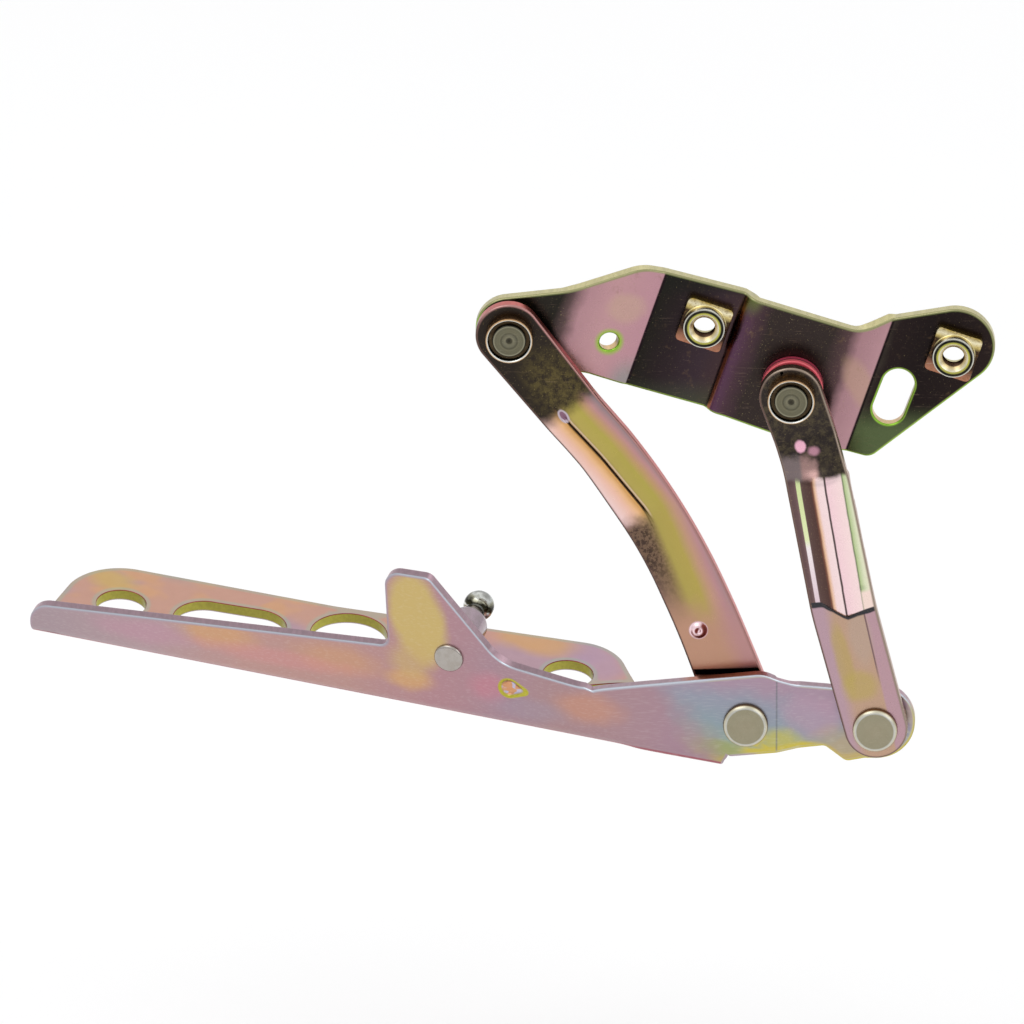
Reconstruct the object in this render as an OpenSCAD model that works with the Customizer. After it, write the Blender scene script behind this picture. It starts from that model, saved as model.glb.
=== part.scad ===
// Bonnet hinge: a four-link hinge of pressed steel plate with riveted pivots.
// X runs along the car, with the bonnet lever towards -X. Z is up. Y runs along
// the pivot axes. The plate of the body bracket lies with its nut side at Y = 0,
// and the origin is on the axis of the front weld nut.

/* [Plates] */
// Thickness of the body bracket
bracket_t = 4; // [3.5:0.5:4]
// Thickness of the two links
link_t = 4; // [3.5:0.5:4]
// Thickness of the bonnet lever
lever_t = 4; // [3.5:0.5:4]
// Inside radius of the lever's folded edge
fold_r = 2.5; // [2:0.5:4]

/* [Bracket folds] */
// Lean of the bracket's fold lines from the vertical, in degrees
fold_lean = 18.5; // [18:0.5:19]
// How far the front pivot lobe stands forward of the nut pads
lobe_forward = 7; // [6.5:0.25:7]
// How far the rear pivot pad stands forward of the nut pads
pad_forward = 4; // [3.5:0.25:4]

/* [Pivots] */
// Radius of the pivot shanks
shank_r = 5; // [4.5:0.25:5]
// Radial running clearance between a shank and its bush
running_gap = 0.05; // [0.03:0.01:0.08]
// Outer radius of the bushes
bush_r = 6.25; // [6:0.25:6.5]
// Outer radius of the collars on the body pivots
collar_r = 7.6; // [7.25:0.05:7.75]
// Radius of the flat rivet heads on the lever pivots
head_r = 7.25; // [6.75:0.25:7.25]
// Radius of the wide spacers
spacer_r = 10; // [9.5:0.25:10]
// Radius of the lever's clearance hole at the rear pivot
rear_eye_r = 7.4; // [7.2:0.1:7.6]

/* [Weld nuts] */
// Radius of the nut's bore
nut_bore_r = 3.5; // [3.3:0.1:3.6]
// Width across the nut's square base
nut_w = 15.5; // [14:0.5:16]
// Radius of the nut's round neck
nut_neck_r = 6.8; // [6.4:0.1:7]
// Overall height of a nut
nut_h = 6.5; // [6:0.25:6.5]

/* [Ball stud] */
// Radius of the ball
ball_r = 5; // [4.5:0.5:5]
// Distance of the ball's centre from the lever's front face
ball_reach = 33.5; // [31:0.5:34]
// Radius of the stud's shoulder
stud_shoulder_r = 6.5; // [5.5:0.5:6.5]

/* [Bonnet lever] */
// Turn of the lever's long arm towards the middle of the car, in degrees
arm_yaw = 15; // [14:0.5:15]
// Tilt of the lever's long arm about its own length, in degrees
arm_pitch = 9.5; // [9:0.5:10]
// Fall of the lever's folded edge, in degrees
arm_fall = 5.2; // [5:0.1:5.4]
// Width of the lever's flange at its free end
flange_w = 45; // [42:1:46]
// Radius of the two round bolt holes in the flange
bolt_hole_r = 8.1; // [7.5:0.1:8.3]
// Radius of the large access hole in the flange
access_hole_r = 12.5; // [12:0.25:12.75]
// Half width of the flange's long slot
slot_r = 10.5; // [10:0.25:11]

/* [Hidden] */

// Pivot axes, as [x, z]
pa = [-62.5, -0.5];
pb = [28.5, -19.8];
pc = [56, -132.5];
pd = [14, -133];
// Second weld nut, as [x, z]
pn = [80.4, -9.1];

// Front faces of the plates, as distances along Y
lobe_y = -lobe_forward;
pad_y = -pad_forward;
main_top_y = lobe_y - 3.5 - link_t;
main_low_y = main_top_y + 4;
rear_top_y = pad_y - 8 - link_t;
rear_low_y = rear_top_y - 5;
lever_y = main_low_y - 2.5 - lever_t;
eye_y = lever_y + 2.4;
gap = 0.1;

// Points of a fillet of radius b[2] at corner b, between corners a and c
function fillet(a, b, c) =
    b[2] == 0 ? [[b[0], b[1]]] :
    let (p = [b[0], b[1]],
         u = ([a[0], a[1]] - p) / norm([a[0], a[1]] - p),
         w = ([c[0], c[1]] - p) / norm([c[0], c[1]] - p),
         half = acos(u * w) / 2,
         m = (u + w) / norm(u + w),
         o = p + m * b[2] / sin(half),
         s = p + u * b[2] / tan(half) - o,
         e = p + w * b[2] / tan(half) - o,
         a1 = atan2(s[1], s[0]),
         turn = (atan2(e[1], e[0]) - a1 + 540) % 360 - 180,
         n = max(1, ceil(abs(turn) / 9)))
    [for (i = [0 : n]) o + b[2] * [cos(a1 + turn * i / n), sin(a1 + turn * i / n)]];

// Closed outline with its corners rounded, from corners [x, z, radius]
function rounded(v) =
    let (n = len(v))
    [for (i = [0 : n - 1]) each fillet(v[(i + n - 1) % n], v[i], v[(i + 1) % n])];

// Open line with its inner corners rounded
function bent(v) =
    let (n = len(v))
    concat([[v[0][0], v[0][1]]],
           [for (i = [1 : n - 2]) each fillet(v[i - 1], v[i], v[i + 1])],
           [[v[n - 1][0], v[n - 1][1]]]);

// Normal of the stretch from a to b, on the +Y side
function side(a, b) = [a[1] - b[1], b[0] - a[0]] / norm(b - a);

// Line moved sideways by d
function shifted(l, d) =
    let (n = len(l))
    [for (i = [0 : n - 1])
        let (n1 = side(l[max(i - 1, 0)], l[max(i, 1)]),
             n2 = side(l[min(i, n - 2)], l[min(i + 1, n - 1)]))
        l[i] + (n1 + n2) * d / (1 + n1 * n2)];

// Section of a bent sheet of thickness t about its middle line
function section(v, t) =
    let (l = bent(v), f = shifted(l, -t / 2), k = shifted(l, t / 2), n = len(k))
    concat(f, [for (i = [0 : n - 1]) k[n - 1 - i]]);

// Section of a folded edge: a wall of height h and a flange of depth d
function angle_section(h, d, t, ri) =
    let (ro = ri + t)
    concat([[0, h]],
           [for (i = [0 : 6]) [ro - ro * cos(i * 15), ro - ro * sin(i * 15)]],
           [[d, 0], [d, t]],
           [for (i = [0 : 6]) [ro - ri * sin(i * 15), ro - ri * cos(i * 15)]],
           [[t, h]]);

// Plate with the outline in X and Z, from y along Y
module plate(outline, y, t) {
    translate([0, y + t, 0]) rotate([90, 0, 0]) linear_extrude(t) polygon(outline);
}

// Cylinder along Y at the axis p, from y0 to y1
module rod(p, y0, y1, r) {
    translate([p[0], y1, p[1]]) rotate([90, 0, 0]) cylinder(h = y1 - y0, r = r, $fn = 64);
}

module ring(p, y0, y1, ro, ri) {
    difference() {
        rod(p, y0, y1, ro);
        rod(p, y0 - 1, y1 + 1, ri);
    }
}

// Bent sheet with its folds across the direction `lean` below +X, cut to an outline
module pressed(v, t, lean, p, outline) {
    intersection() {
        translate([p[0], 0, p[1]]) rotate([0, lean, 0])
            linear_extrude(500, center = true) polygon(section(v, t));
        plate(outline, -60, 120);
    }
}

// ---------------------------------------------------------------- body bracket

bracket_outline = rounded([
    [-73.7, 8.8, 10.8], [-41, 13.2, 30], [-19.5, 19.2, 14], [14.5, 10.2, 5],
    [17.8, 8.9, 5], [51, -1.6, 14], [61, 1.9, 14], [127.5, 13.9, 12.8],
    [53.5, -46.4, 4.5], [30, -40, 60], [6, -31.2, 30], [-27, -21.8, 12],
    [-38, -17.2, 16], [-73.7, -9.8, 9.5]]);

bracket_bends = [
    [-120, lobe_y + bracket_t / 2], [-46, lobe_y + bracket_t / 2, 14],
    [-17, bracket_t / 2, 5], [10.2, bracket_t / 2, 2.6],
    [12.8, pad_y + bracket_t / 2, 2.6], [48, pad_y + bracket_t / 2, 9],
    [57, bracket_t / 2, 3.5], [140, bracket_t / 2]];

module body_bracket() color([0.42, 0.33, 0.34]) {
    difference() {
        pressed(bracket_bends, bracket_t, fold_lean, [0, 0], bracket_outline);
        rod(pa, -20, 20, shank_r);
        rod(pb, -20, 20, shank_r);
        rod([0, 0], -20, 20, 4.6);
        rod(pn, -20, 20, 4.6);
        rod([-30.7, -6.4], -20, 20, 3);
        // adjusting slot beside the rear nut
        translate([61, 20, -25.2]) rotate([90, 0, 0]) rotate([0, 0, -20]) linear_extrude(40)
            union() {
                square([10.4, 9.2], center = true);
                translate([0, 4.6]) circle(r = 5.2, $fn = 64);
                translate([0, -4.6]) circle(r = 5.2, $fn = 64);
            }
    }
}

// Square weld nut with a round neck towards the front
module weld_nut(p) {
    difference() {
        union() {
            translate([p[0], 0, p[1]]) rotate([90, 0, 0]) rotate([0, 0, -fold_lean])
                linear_extrude(3.4) polygon(rounded([
                    [-nut_w / 2, -nut_w / 2, 1.6], [nut_w / 2, -nut_w / 2, 1.6],
                    [nut_w / 2, nut_w / 2, 1.6], [-nut_w / 2, nut_w / 2, 1.6]]));
            rod(p, -nut_h, -3, nut_neck_r);
        }
        rod(p, -nut_h - 1, 1, nut_bore_r);
        translate([p[0], -nut_h + 1, p[1]]) rotate([90, 0, 0])
            cylinder(h = 1.02, r1 = nut_bore_r, r2 = nut_bore_r + 1.05, $fn = 64);
    }
}

module front_weld_nut() color([0.72, 0.58, 0.32]) weld_nut([0, 0]);
module rear_weld_nut() color([0.72, 0.58, 0.32]) weld_nut(pn);

// ---------------------------------------------------------------- body pivots

// Pin with a formed front end in its collar and a flat head behind
module body_pin(p, y_front, y_back, head) {
    rod(p, y_front + 1.5, y_back, shank_r);
    rod(p, y_front + 0.1, y_front + 1.5, 5.45);
    rod(p, y_back, y_back + head, 7);
}

// Thick collar with a recess for the formed end of the pin
module body_collar(p, y0, y1) {
    difference() {
        rod(p, y0, y1, collar_r);
        rod(p, y0 - 1, y0 + 1.5, 6.7);
        rod(p, y0 - 1, y1 + 1, shank_r);
    }
}

// Bush in a link, with a thin flange behind it
module bush(p, y0) {
    difference() {
        union() {
            rod(p, y0, y0 + link_t, bush_r);
            rod(p, y0 + link_t, y0 + link_t + 0.6, 8);
        }
        rod(p, y0 - 1, y0 + link_t + 2, shank_r + running_gap);
    }
}

module main_pivot_pin() color([0.62, 0.61, 0.52])
    body_pin(pa, main_top_y - gap - 4, lobe_y + bracket_t, 2.4);
module main_pivot_collar() color([0.72, 0.62, 0.40])
    body_collar(pa, main_top_y - gap - 4, main_top_y - gap);
module main_pivot_bush() color([0.45, 0.43, 0.36]) bush(pa, main_top_y);
module main_pivot_washer() color([0.70, 0.62, 0.42])
    ring(pa, main_top_y + link_t + 0.6 + gap, lobe_y, 9, shank_r);

module rear_pivot_pin() color([0.62, 0.61, 0.52])
    body_pin(pb, rear_top_y - gap - 4, pad_y + bracket_t, 2.4);
module rear_pivot_collar() color([0.72, 0.62, 0.40])
    body_collar(pb, rear_top_y - gap - 4, rear_top_y - gap);
module rear_pivot_bush() color([0.45, 0.43, 0.36]) bush(pb, rear_top_y);
module rear_pivot_washer() color([0.30, 0.29, 0.26])
    ring(pb, rear_top_y + link_t + 0.6 + gap, pad_y - 5, 8.2, shank_r);
module rear_pivot_spacer() color([0.75, 0.25, 0.36])
    ring(pb, pad_y - 5, pad_y, spacer_r, shank_r);

// ---------------------------------------------------------------- links

main_outline = rounded([
    [-60.6, 15, 10.7], [-4.5, -61.4, 250], [11, -96.4, 400],
    [28.2, -140.3, 10.7], [7, -147.3, 10.7],
    [-8, -104.5, 300], [-20, -76.5, 160], [-42.5, -42, 300], [-78, 1.4, 10.7]]);

main_bends = [
    [-40, main_top_y + link_t / 2], [33, main_top_y + link_t / 2, 30],
    [51, main_low_y + link_t / 2, 30], [240, main_low_y + link_t / 2]];

// Narrow raised crease down the link, as an outline
main_crease = rounded([
    [-44.2, -26.4, 1], [-16.1, -62.6, 8], [-2.6, -96.3, 1], [-4.7, -97.1, 1],
    [-18.1, -63.8, 8], [-45.8, -27.7, 1]]);
crease_h = 0.8;

// Strip of the link's sheet under the crease, moved by d through the link
module crease(d) {
    pressed([for (b = main_bends) [b[0], b[1] + d, b[2]]], link_t, 52, pa, main_crease);
}

module main_link() color([0.70, 0.62, 0.40]) {
    difference() {
        union() {
            pressed(main_bends, link_t, 52, pa, main_outline);
            crease(-crease_h);
            // locating nub
            rod([-1.5, -102.9], main_low_y - 1.1, main_low_y + 1, 2.3);
        }
        rod(pa, -40, 20, bush_r);
        rod(pd, -40, 20, bush_r);
        crease(link_t - crease_h);
    }
}

rear_outline = rounded([
    [34.9, -6.6, 10.3], [47.3, -45.5, 60], [56.2, -90.5, 120],
    [68.6, -139.4, 10.1], [49, -145, 10.1],
    [35.2, -93, 120], [26.2, -44.5, 60], [15.1, -13.6, 10.3]]);

rear_bends = [
    [-40, rear_top_y + link_t / 2], [15, rear_top_y + link_t / 2, 9],
    [27, rear_low_y + link_t / 2, 9], [200, rear_low_y + link_t / 2]];

// Section of the link's pressed rib, w wide at its foot and h high
function rib(w, h) = [[-w / 2, 0], [w / 2, 0], [1.2, -h], [-1.2, -h]];

// Prism along the rib's run, from s0 to s1 below its top end
module rib_run(w, h, y, s0, s1) {
    translate([37.6, y, -43.5]) rotate([0, 171.5, 0]) translate([0, 0, s0])
        linear_extrude(s1 - s0) polygon(rib(w, h));
}

module rear_link() color([0.78, 0.66, 0.60]) {
    difference() {
        union() {
            pressed(rear_bends, link_t, 74.5, pb, rear_outline);
            rib_run(13, 2.8, rear_low_y + 0.5, 3, 47.5);
        }
        rod(pb, -40, 20, bush_r);
        rod(pc, -40, 20, shank_r);
        rib_run(10.5, 2.4, rear_low_y + link_t + 0.02, 5, 45.5);
    }
}

// ---------------------------------------------------------------- bonnet lever

// Start of the long arm on the lever's front face
arm_o = [-37.4, lever_y, -121.7];

// Vectors of the long arm: along the fold, through the plate, and up the plate
function turn_x(v) = [v[0], v[1] * cos(arm_pitch) - v[2] * sin(arm_pitch),
                      v[1] * sin(arm_pitch) + v[2] * cos(arm_pitch)];
function turn_z(v) = [v[0] * cos(arm_yaw) + v[1] * sin(arm_yaw),
                      -v[0] * sin(arm_yaw) + v[1] * cos(arm_yaw), v[2]];
arm_n = turn_z(turn_x([0, 1, 0]));

// The plane where the long arm meets the pivot plate halves their angle
mitre = (arm_n - [0, 1, 0]) / norm(arm_n - [0, 1, 0]);

// Half of space on one side of the mitre
module half(s) {
    translate(arm_o) rotate([0, -asin(mitre[2]), atan2(mitre[1], mitre[0])])
        translate([s > 0 ? 0 : -400, -400, -400]) cube([400, 800, 800]);
}

// Frame of the long arm: X along the fold, Y through the plate, Z up the plate
module in_arm() {
    translate(arm_o) rotate([arm_pitch, 0, -arm_yaw]) rotate([0, arm_fall, 0]) children();
}

fold_z = -20.8;
fold_o = fold_r + lever_t;

arm_outline = rounded([
    [-188.4, -8.4, 6.5], [-67.4, 2.1, 3], [-69.9, 30, 5], [-54.9, 30.6, 4],
    [-29.8, 3.4, 16], [0, -0.1, 0], [40, -4, 0], [40, -30, 0], [-184.4, -30, 0],
    [-188.4, -18.6, 3]]);

flange_outline = rounded([
    [-186.8, -8, 0], [-186.4, 9, 10], [-182, flange_w, 19],
    [-98, flange_w + 1.2, 60], [-6, flange_w + 9.2, 16],
    [12.5, 23.6, 0], [30, 23.6, 0], [30, -8, 0]]);

module arm_plate() {
    in_arm() difference() {
        translate([-190, 0, fold_z]) rotate([90, 0, 90])
            linear_extrude(250) polygon(angle_section(60, 60, lever_t, fold_r));
        // everything outside the wall's outline
        translate([0, fold_o, 0]) rotate([90, 0, 0]) linear_extrude(fold_o + 5) difference() {
            translate([-220, -60]) square([320, 140]);
            polygon(arm_outline);
        }
        // everything outside the flange's outline
        translate([0, 0, fold_z - 5]) linear_extrude(fold_o + 5) difference() {
            translate([-220, fold_o]) square([320, 140]);
            polygon(flange_outline);
        }
        translate([-164.5, 23.6, -40]) cylinder(h = 40, r = bolt_hole_r, $fn = 64);
        translate([-15.6, 33.1, -40]) cylinder(h = 40, r = bolt_hole_r, $fn = 64);
        translate([-89.5, 31.4, -40]) cylinder(h = 40, r = access_hole_r, $fn = 96);
        translate([-127.9, 24.8, -40]) rotate([0, 0, 3]) linear_extrude(40) union() {
            square([16.4, 2 * slot_r], center = true);
            translate([-8.2, 0]) circle(r = slot_r, $fn = 96);
            translate([8.2, 0]) circle(r = slot_r, $fn = 96);
        }
        // hole of the ball stud
        translate([-46.7, 10, 2.2]) rotate([90, 0, 0]) cylinder(h = 20, r = 4, $fn = 64);
        // locating dimple
        translate([-26, 0.9, -5]) rotate([90, 0, 0]) cylinder(h = 5, r = 3, $fn = 48);
    }
}

lever_outline = rounded([
    [-60, -123.8, 0], [-37.4, -121.7, 0], [19.5, -115.5, 10], [30, -119.9, 12], [44, -121, 20],
    [56, -119.8, 0], [68.7, -119.8, 12.6], [68.7, -145.2, 12.6], [52.5, -145.2, 3],
    [46.5, -146.4, 3], [39.6, -141, 2.5], [24, -142.9, 30], [8.6, -144.4, 1.5],
    [6.4, -142, 0], [-27, -136, 0], [-60, -130, 0]]);

lever_bends = [
    [-80, lever_y + lever_t / 2], [24, lever_y + lever_t / 2, 4],
    [31, eye_y + lever_t / 2, 6], [120, eye_y + lever_t / 2]];

lip_outline = [[-24, -5], [36, -5], [36, fold_o + 0.5], [8, 22], [-8, 26], [-15, 38], [-24, 38]];

module bonnet_lever() color([0.64, 0.56, 0.60]) {
    union() {
        intersection() {
            half(-1);
            arm_plate();
        }
        intersection() {
            half(1);
            difference() {
                union() {
                    pressed(lever_bends, lever_t, 0, [0, 0], lever_outline);
                    // folded lip that runs on from the long arm
                    translate([-27.6, lever_y, -142.9]) rotate([0, 10.3, 0]) intersection() {
                        rotate([90, 0, 90]) translate([0, 0, -24]) linear_extrude(59)
                            polygon(angle_section(8.5, 60, lever_t, fold_r));
                        translate([0, 0, -5]) linear_extrude(30) polygon(lip_outline);
                    }
                }
                rod(pd, -40, 20, shank_r);
                rod(pc, -40, 20, rear_eye_r);
            }
        }
    }
}

// Stud riveted through the lever, with a shoulder, a cone and a ball

module ball_stud() color([0.66, 0.62, 0.60]) {
    in_arm() translate([-46.7, 0, 2.2]) rotate([-90, 0, 0]) {
        rotate_extrude($fn = 96) polygon([
            [0, -1.3], [4.2, -1.3], [4.9, -0.6], [4.9, 0], [4, 0], [4, lever_t],
            [stud_shoulder_r, lever_t], [stud_shoulder_r, ball_reach - 11.5],
            [3.7, ball_reach - 6], [3.2, ball_reach - 5.4], [3.2, ball_reach - 1],
            [0, ball_reach - 1]]);
        translate([0, 0, ball_reach]) sphere(r = ball_r, $fn = 96);
    }
}

// ---------------------------------------------------------------- lever pivots

// Flat rivet head with a bevelled rim, and its shank and rear head
module lever_rivet(p, r, y_face, y_back, head) {
    translate([p[0], y_face, p[1]]) rotate([-90, 0, 0]) rotate_extrude($fn = 96) polygon([
        [0, -2.2], [r - 0.9, -2.2], [r, -1.4], [r, 0], [shank_r, 0],
        [shank_r, y_back - y_face], [7, y_back - y_face], [7, y_back - y_face + head - 0.5],
        [6.5, y_back - y_face + head], [0, y_back - y_face + head]]);
}

module lever_front_rivet() color([0.62, 0.60, 0.50])
    lever_rivet(pd, head_r, lever_y, main_low_y + link_t + 0.6 + gap, 2.2);
module lever_front_bush() color([0.45, 0.43, 0.36]) bush(pd, main_low_y);
module lever_front_washer() color([0.35, 0.33, 0.30])
    ring(pd, lever_y + lever_t, main_low_y - gap, 9, shank_r);

module lever_rear_rivet() color([0.62, 0.60, 0.50])
    lever_rivet(pc, head_r, rear_low_y, eye_y + lever_t + gap + 2.2, 2);
module lever_rear_spacer() color([0.70, 0.62, 0.42])
    ring(pc, rear_low_y + link_t, eye_y - gap, spacer_r, shank_r);
module lever_rear_washer() color([0.70, 0.62, 0.42])
    ring(pc, eye_y + lever_t + gap, eye_y + lever_t + gap + 2.2, spacer_r, shank_r);

body_bracket();
front_weld_nut();
rear_weld_nut();
main_pivot_pin();
main_pivot_collar();
main_pivot_bush();
main_pivot_washer();
rear_pivot_pin();
rear_pivot_collar();
rear_pivot_bush();
rear_pivot_washer();
rear_pivot_spacer();
main_link();
rear_link();
lever_front_rivet();
lever_front_bush();
lever_front_washer();
lever_rear_rivet();
lever_rear_spacer();
lever_rear_washer();
bonnet_lever();
ball_stud();
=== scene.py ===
import math

import bpy
import numpy as np
from mathutils import Matrix, Vector
from mathutils.geometry import delaunay_2d_cdt


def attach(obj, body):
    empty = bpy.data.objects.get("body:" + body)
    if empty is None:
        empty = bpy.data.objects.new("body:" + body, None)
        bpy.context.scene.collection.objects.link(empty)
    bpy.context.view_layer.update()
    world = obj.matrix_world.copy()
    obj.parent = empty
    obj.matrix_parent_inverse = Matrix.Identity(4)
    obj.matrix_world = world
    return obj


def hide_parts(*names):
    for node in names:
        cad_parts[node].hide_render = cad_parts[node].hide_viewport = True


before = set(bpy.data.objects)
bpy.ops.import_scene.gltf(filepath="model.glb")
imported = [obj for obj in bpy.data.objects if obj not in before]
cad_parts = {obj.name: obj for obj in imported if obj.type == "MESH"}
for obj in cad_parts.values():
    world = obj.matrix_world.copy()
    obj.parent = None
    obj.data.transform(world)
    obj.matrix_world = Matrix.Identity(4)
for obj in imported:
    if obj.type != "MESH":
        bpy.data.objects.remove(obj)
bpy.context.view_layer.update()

MM = 0.001

# ------------------------------------------------------------ dimensions (mm)
PA, PB, PC, PD = (-62.5, -0.5), (28.5, -19.8), (56.0, -132.5), (14.0, -133.0)
NUT_1, NUT_2 = (0.0, 0.0), (80.4, -9.1)
T = 4.0
LOBE_Y, PAD_Y = -7.0, -4.0
MAIN_TOP, MAIN_LOW = -14.5, -10.5
REAR_TOP, REAR_LOW = -16.0, -21.0
LEVER_Y, EYE_Y = -17.0, -14.6


# ------------------------------------------------------------ outlines
def fillet(a, b, c, step):
    p = np.array(b[:2], float)
    if b[2] <= 0:
        return [p]
    u = np.array(a[:2], float) - p
    w = np.array(c[:2], float) - p
    u /= np.linalg.norm(u)
    w /= np.linalg.norm(w)
    half = math.acos(max(-1, min(1, float(u @ w)))) / 2
    m = (u + w) / np.linalg.norm(u + w)
    o = p + m * b[2] / math.sin(half)
    s = p + u * b[2] / math.tan(half) - o
    e = p + w * b[2] / math.tan(half) - o
    a1 = math.atan2(s[1], s[0])
    turn = (math.degrees(math.atan2(e[1], e[0]) - a1) + 540) % 360 - 180
    turn = math.radians(turn)
    n = max(2, int(math.ceil(abs(turn) * b[2] / step)), int(math.ceil(abs(math.degrees(turn)) / 8)))
    return [o + b[2] * np.array([math.cos(a1 + turn * i / n), math.sin(a1 + turn * i / n)]) for i in range(n + 1)]


def rounded(v, step=0.5):
    out = []
    n = len(v)
    for i in range(n):
        out += fillet(v[i - 1], v[i], v[(i + 1) % n], step)
    return np.array(out)


def bent(v, step=0.12):
    out = [np.array(v[0][:2], float)]
    for i in range(1, len(v) - 1):
        out += fillet(v[i - 1], v[i], v[i + 1], step)
    out.append(np.array(v[-1][:2], float))
    return np.array(out)


def shifted(l, d):
    t = np.diff(l, axis=0)
    t /= np.linalg.norm(t, axis=1)[:, None]
    n = np.stack([-t[:, 1], t[:, 0]], 1)
    n1 = np.vstack([n[:1], n])
    n2 = np.vstack([n, n[-1:]])
    return l + (n1 + n2) * d / (1 + (n1 * n2).sum(1))[:, None]


def resampled(loop, step):
    """Closed loop with no stretch longer than step."""
    out = []
    for i in range(len(loop)):
        a, b = loop[i], loop[(i + 1) % len(loop)]
        k = max(1, int(math.ceil(np.linalg.norm(b - a) / step)))
        for j in range(k):
            out.append(a + (b - a) * j / k)
    out = np.array(out)
    keep = np.linalg.norm(out - np.roll(out, 1, 0), axis=1) > 1e-4
    return out[keep]


def area2(loop):
    x, y = loop[:, 0], loop[:, 1]
    return float((x * np.roll(y, -1) - np.roll(x, -1) * y).sum())


def circle(cx, cy, r, n=72):
    a = np.linspace(0, 2 * math.pi, n, endpoint=False)
    return np.stack([cx + r * np.cos(a), cy + r * np.sin(a)], 1)


def stadium(c1, c2, r, n=40):
    c1, c2 = np.array(c1, float), np.array(c2, float)
    d = c2 - c1
    a0 = math.atan2(d[1], d[0])
    out = [c2 + r * np.array([math.cos(a0 - math.pi / 2 + math.pi * i / n), math.sin(a0 - math.pi / 2 + math.pi * i / n)]) for i in range(n + 1)]
    out += [c1 + r * np.array([math.cos(a0 + math.pi / 2 + math.pi * i / n), math.sin(a0 + math.pi / 2 + math.pi * i / n)]) for i in range(n + 1)]
    return np.array(out)


def inward(loop):
    """Unit normals to the left of the loop's run."""
    t = np.roll(loop, -1, 0) - np.roll(loop, 1, 0)
    t /= np.linalg.norm(t, axis=1)[:, None]
    return np.stack([-t[:, 1], t[:, 0]], 1)


def inside(pts, loops):
    """Even-odd test against all loops together."""
    res = np.zeros(len(pts), bool)
    x, y = pts[:, 0], pts[:, 1]
    for lp in loops:
        nx = np.roll(lp, -1, 0)
        for (x1, y1), (x2, y2) in zip(lp, nx):
            if y1 == y2:
                continue
            hit = (y1 > y) != (y2 > y)
            if hit.any():
                res ^= hit & (x < (x2 - x1) * (y - y1) / (y2 - y1) + x1)
    return res


def rim_distance(pts, loops):
    d = np.full(len(pts), 1e9)
    for lp in loops:
        for a, b in zip(lp, np.roll(lp, -1, 0)):
            ab = b - a
            t = np.clip(((pts - a) @ ab) / max(ab @ ab, 1e-12), 0, 1)
            q = a + t[:, None] * ab
            d = np.minimum(d, ((pts - q) ** 2).sum(1))
    return np.sqrt(d)


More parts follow.
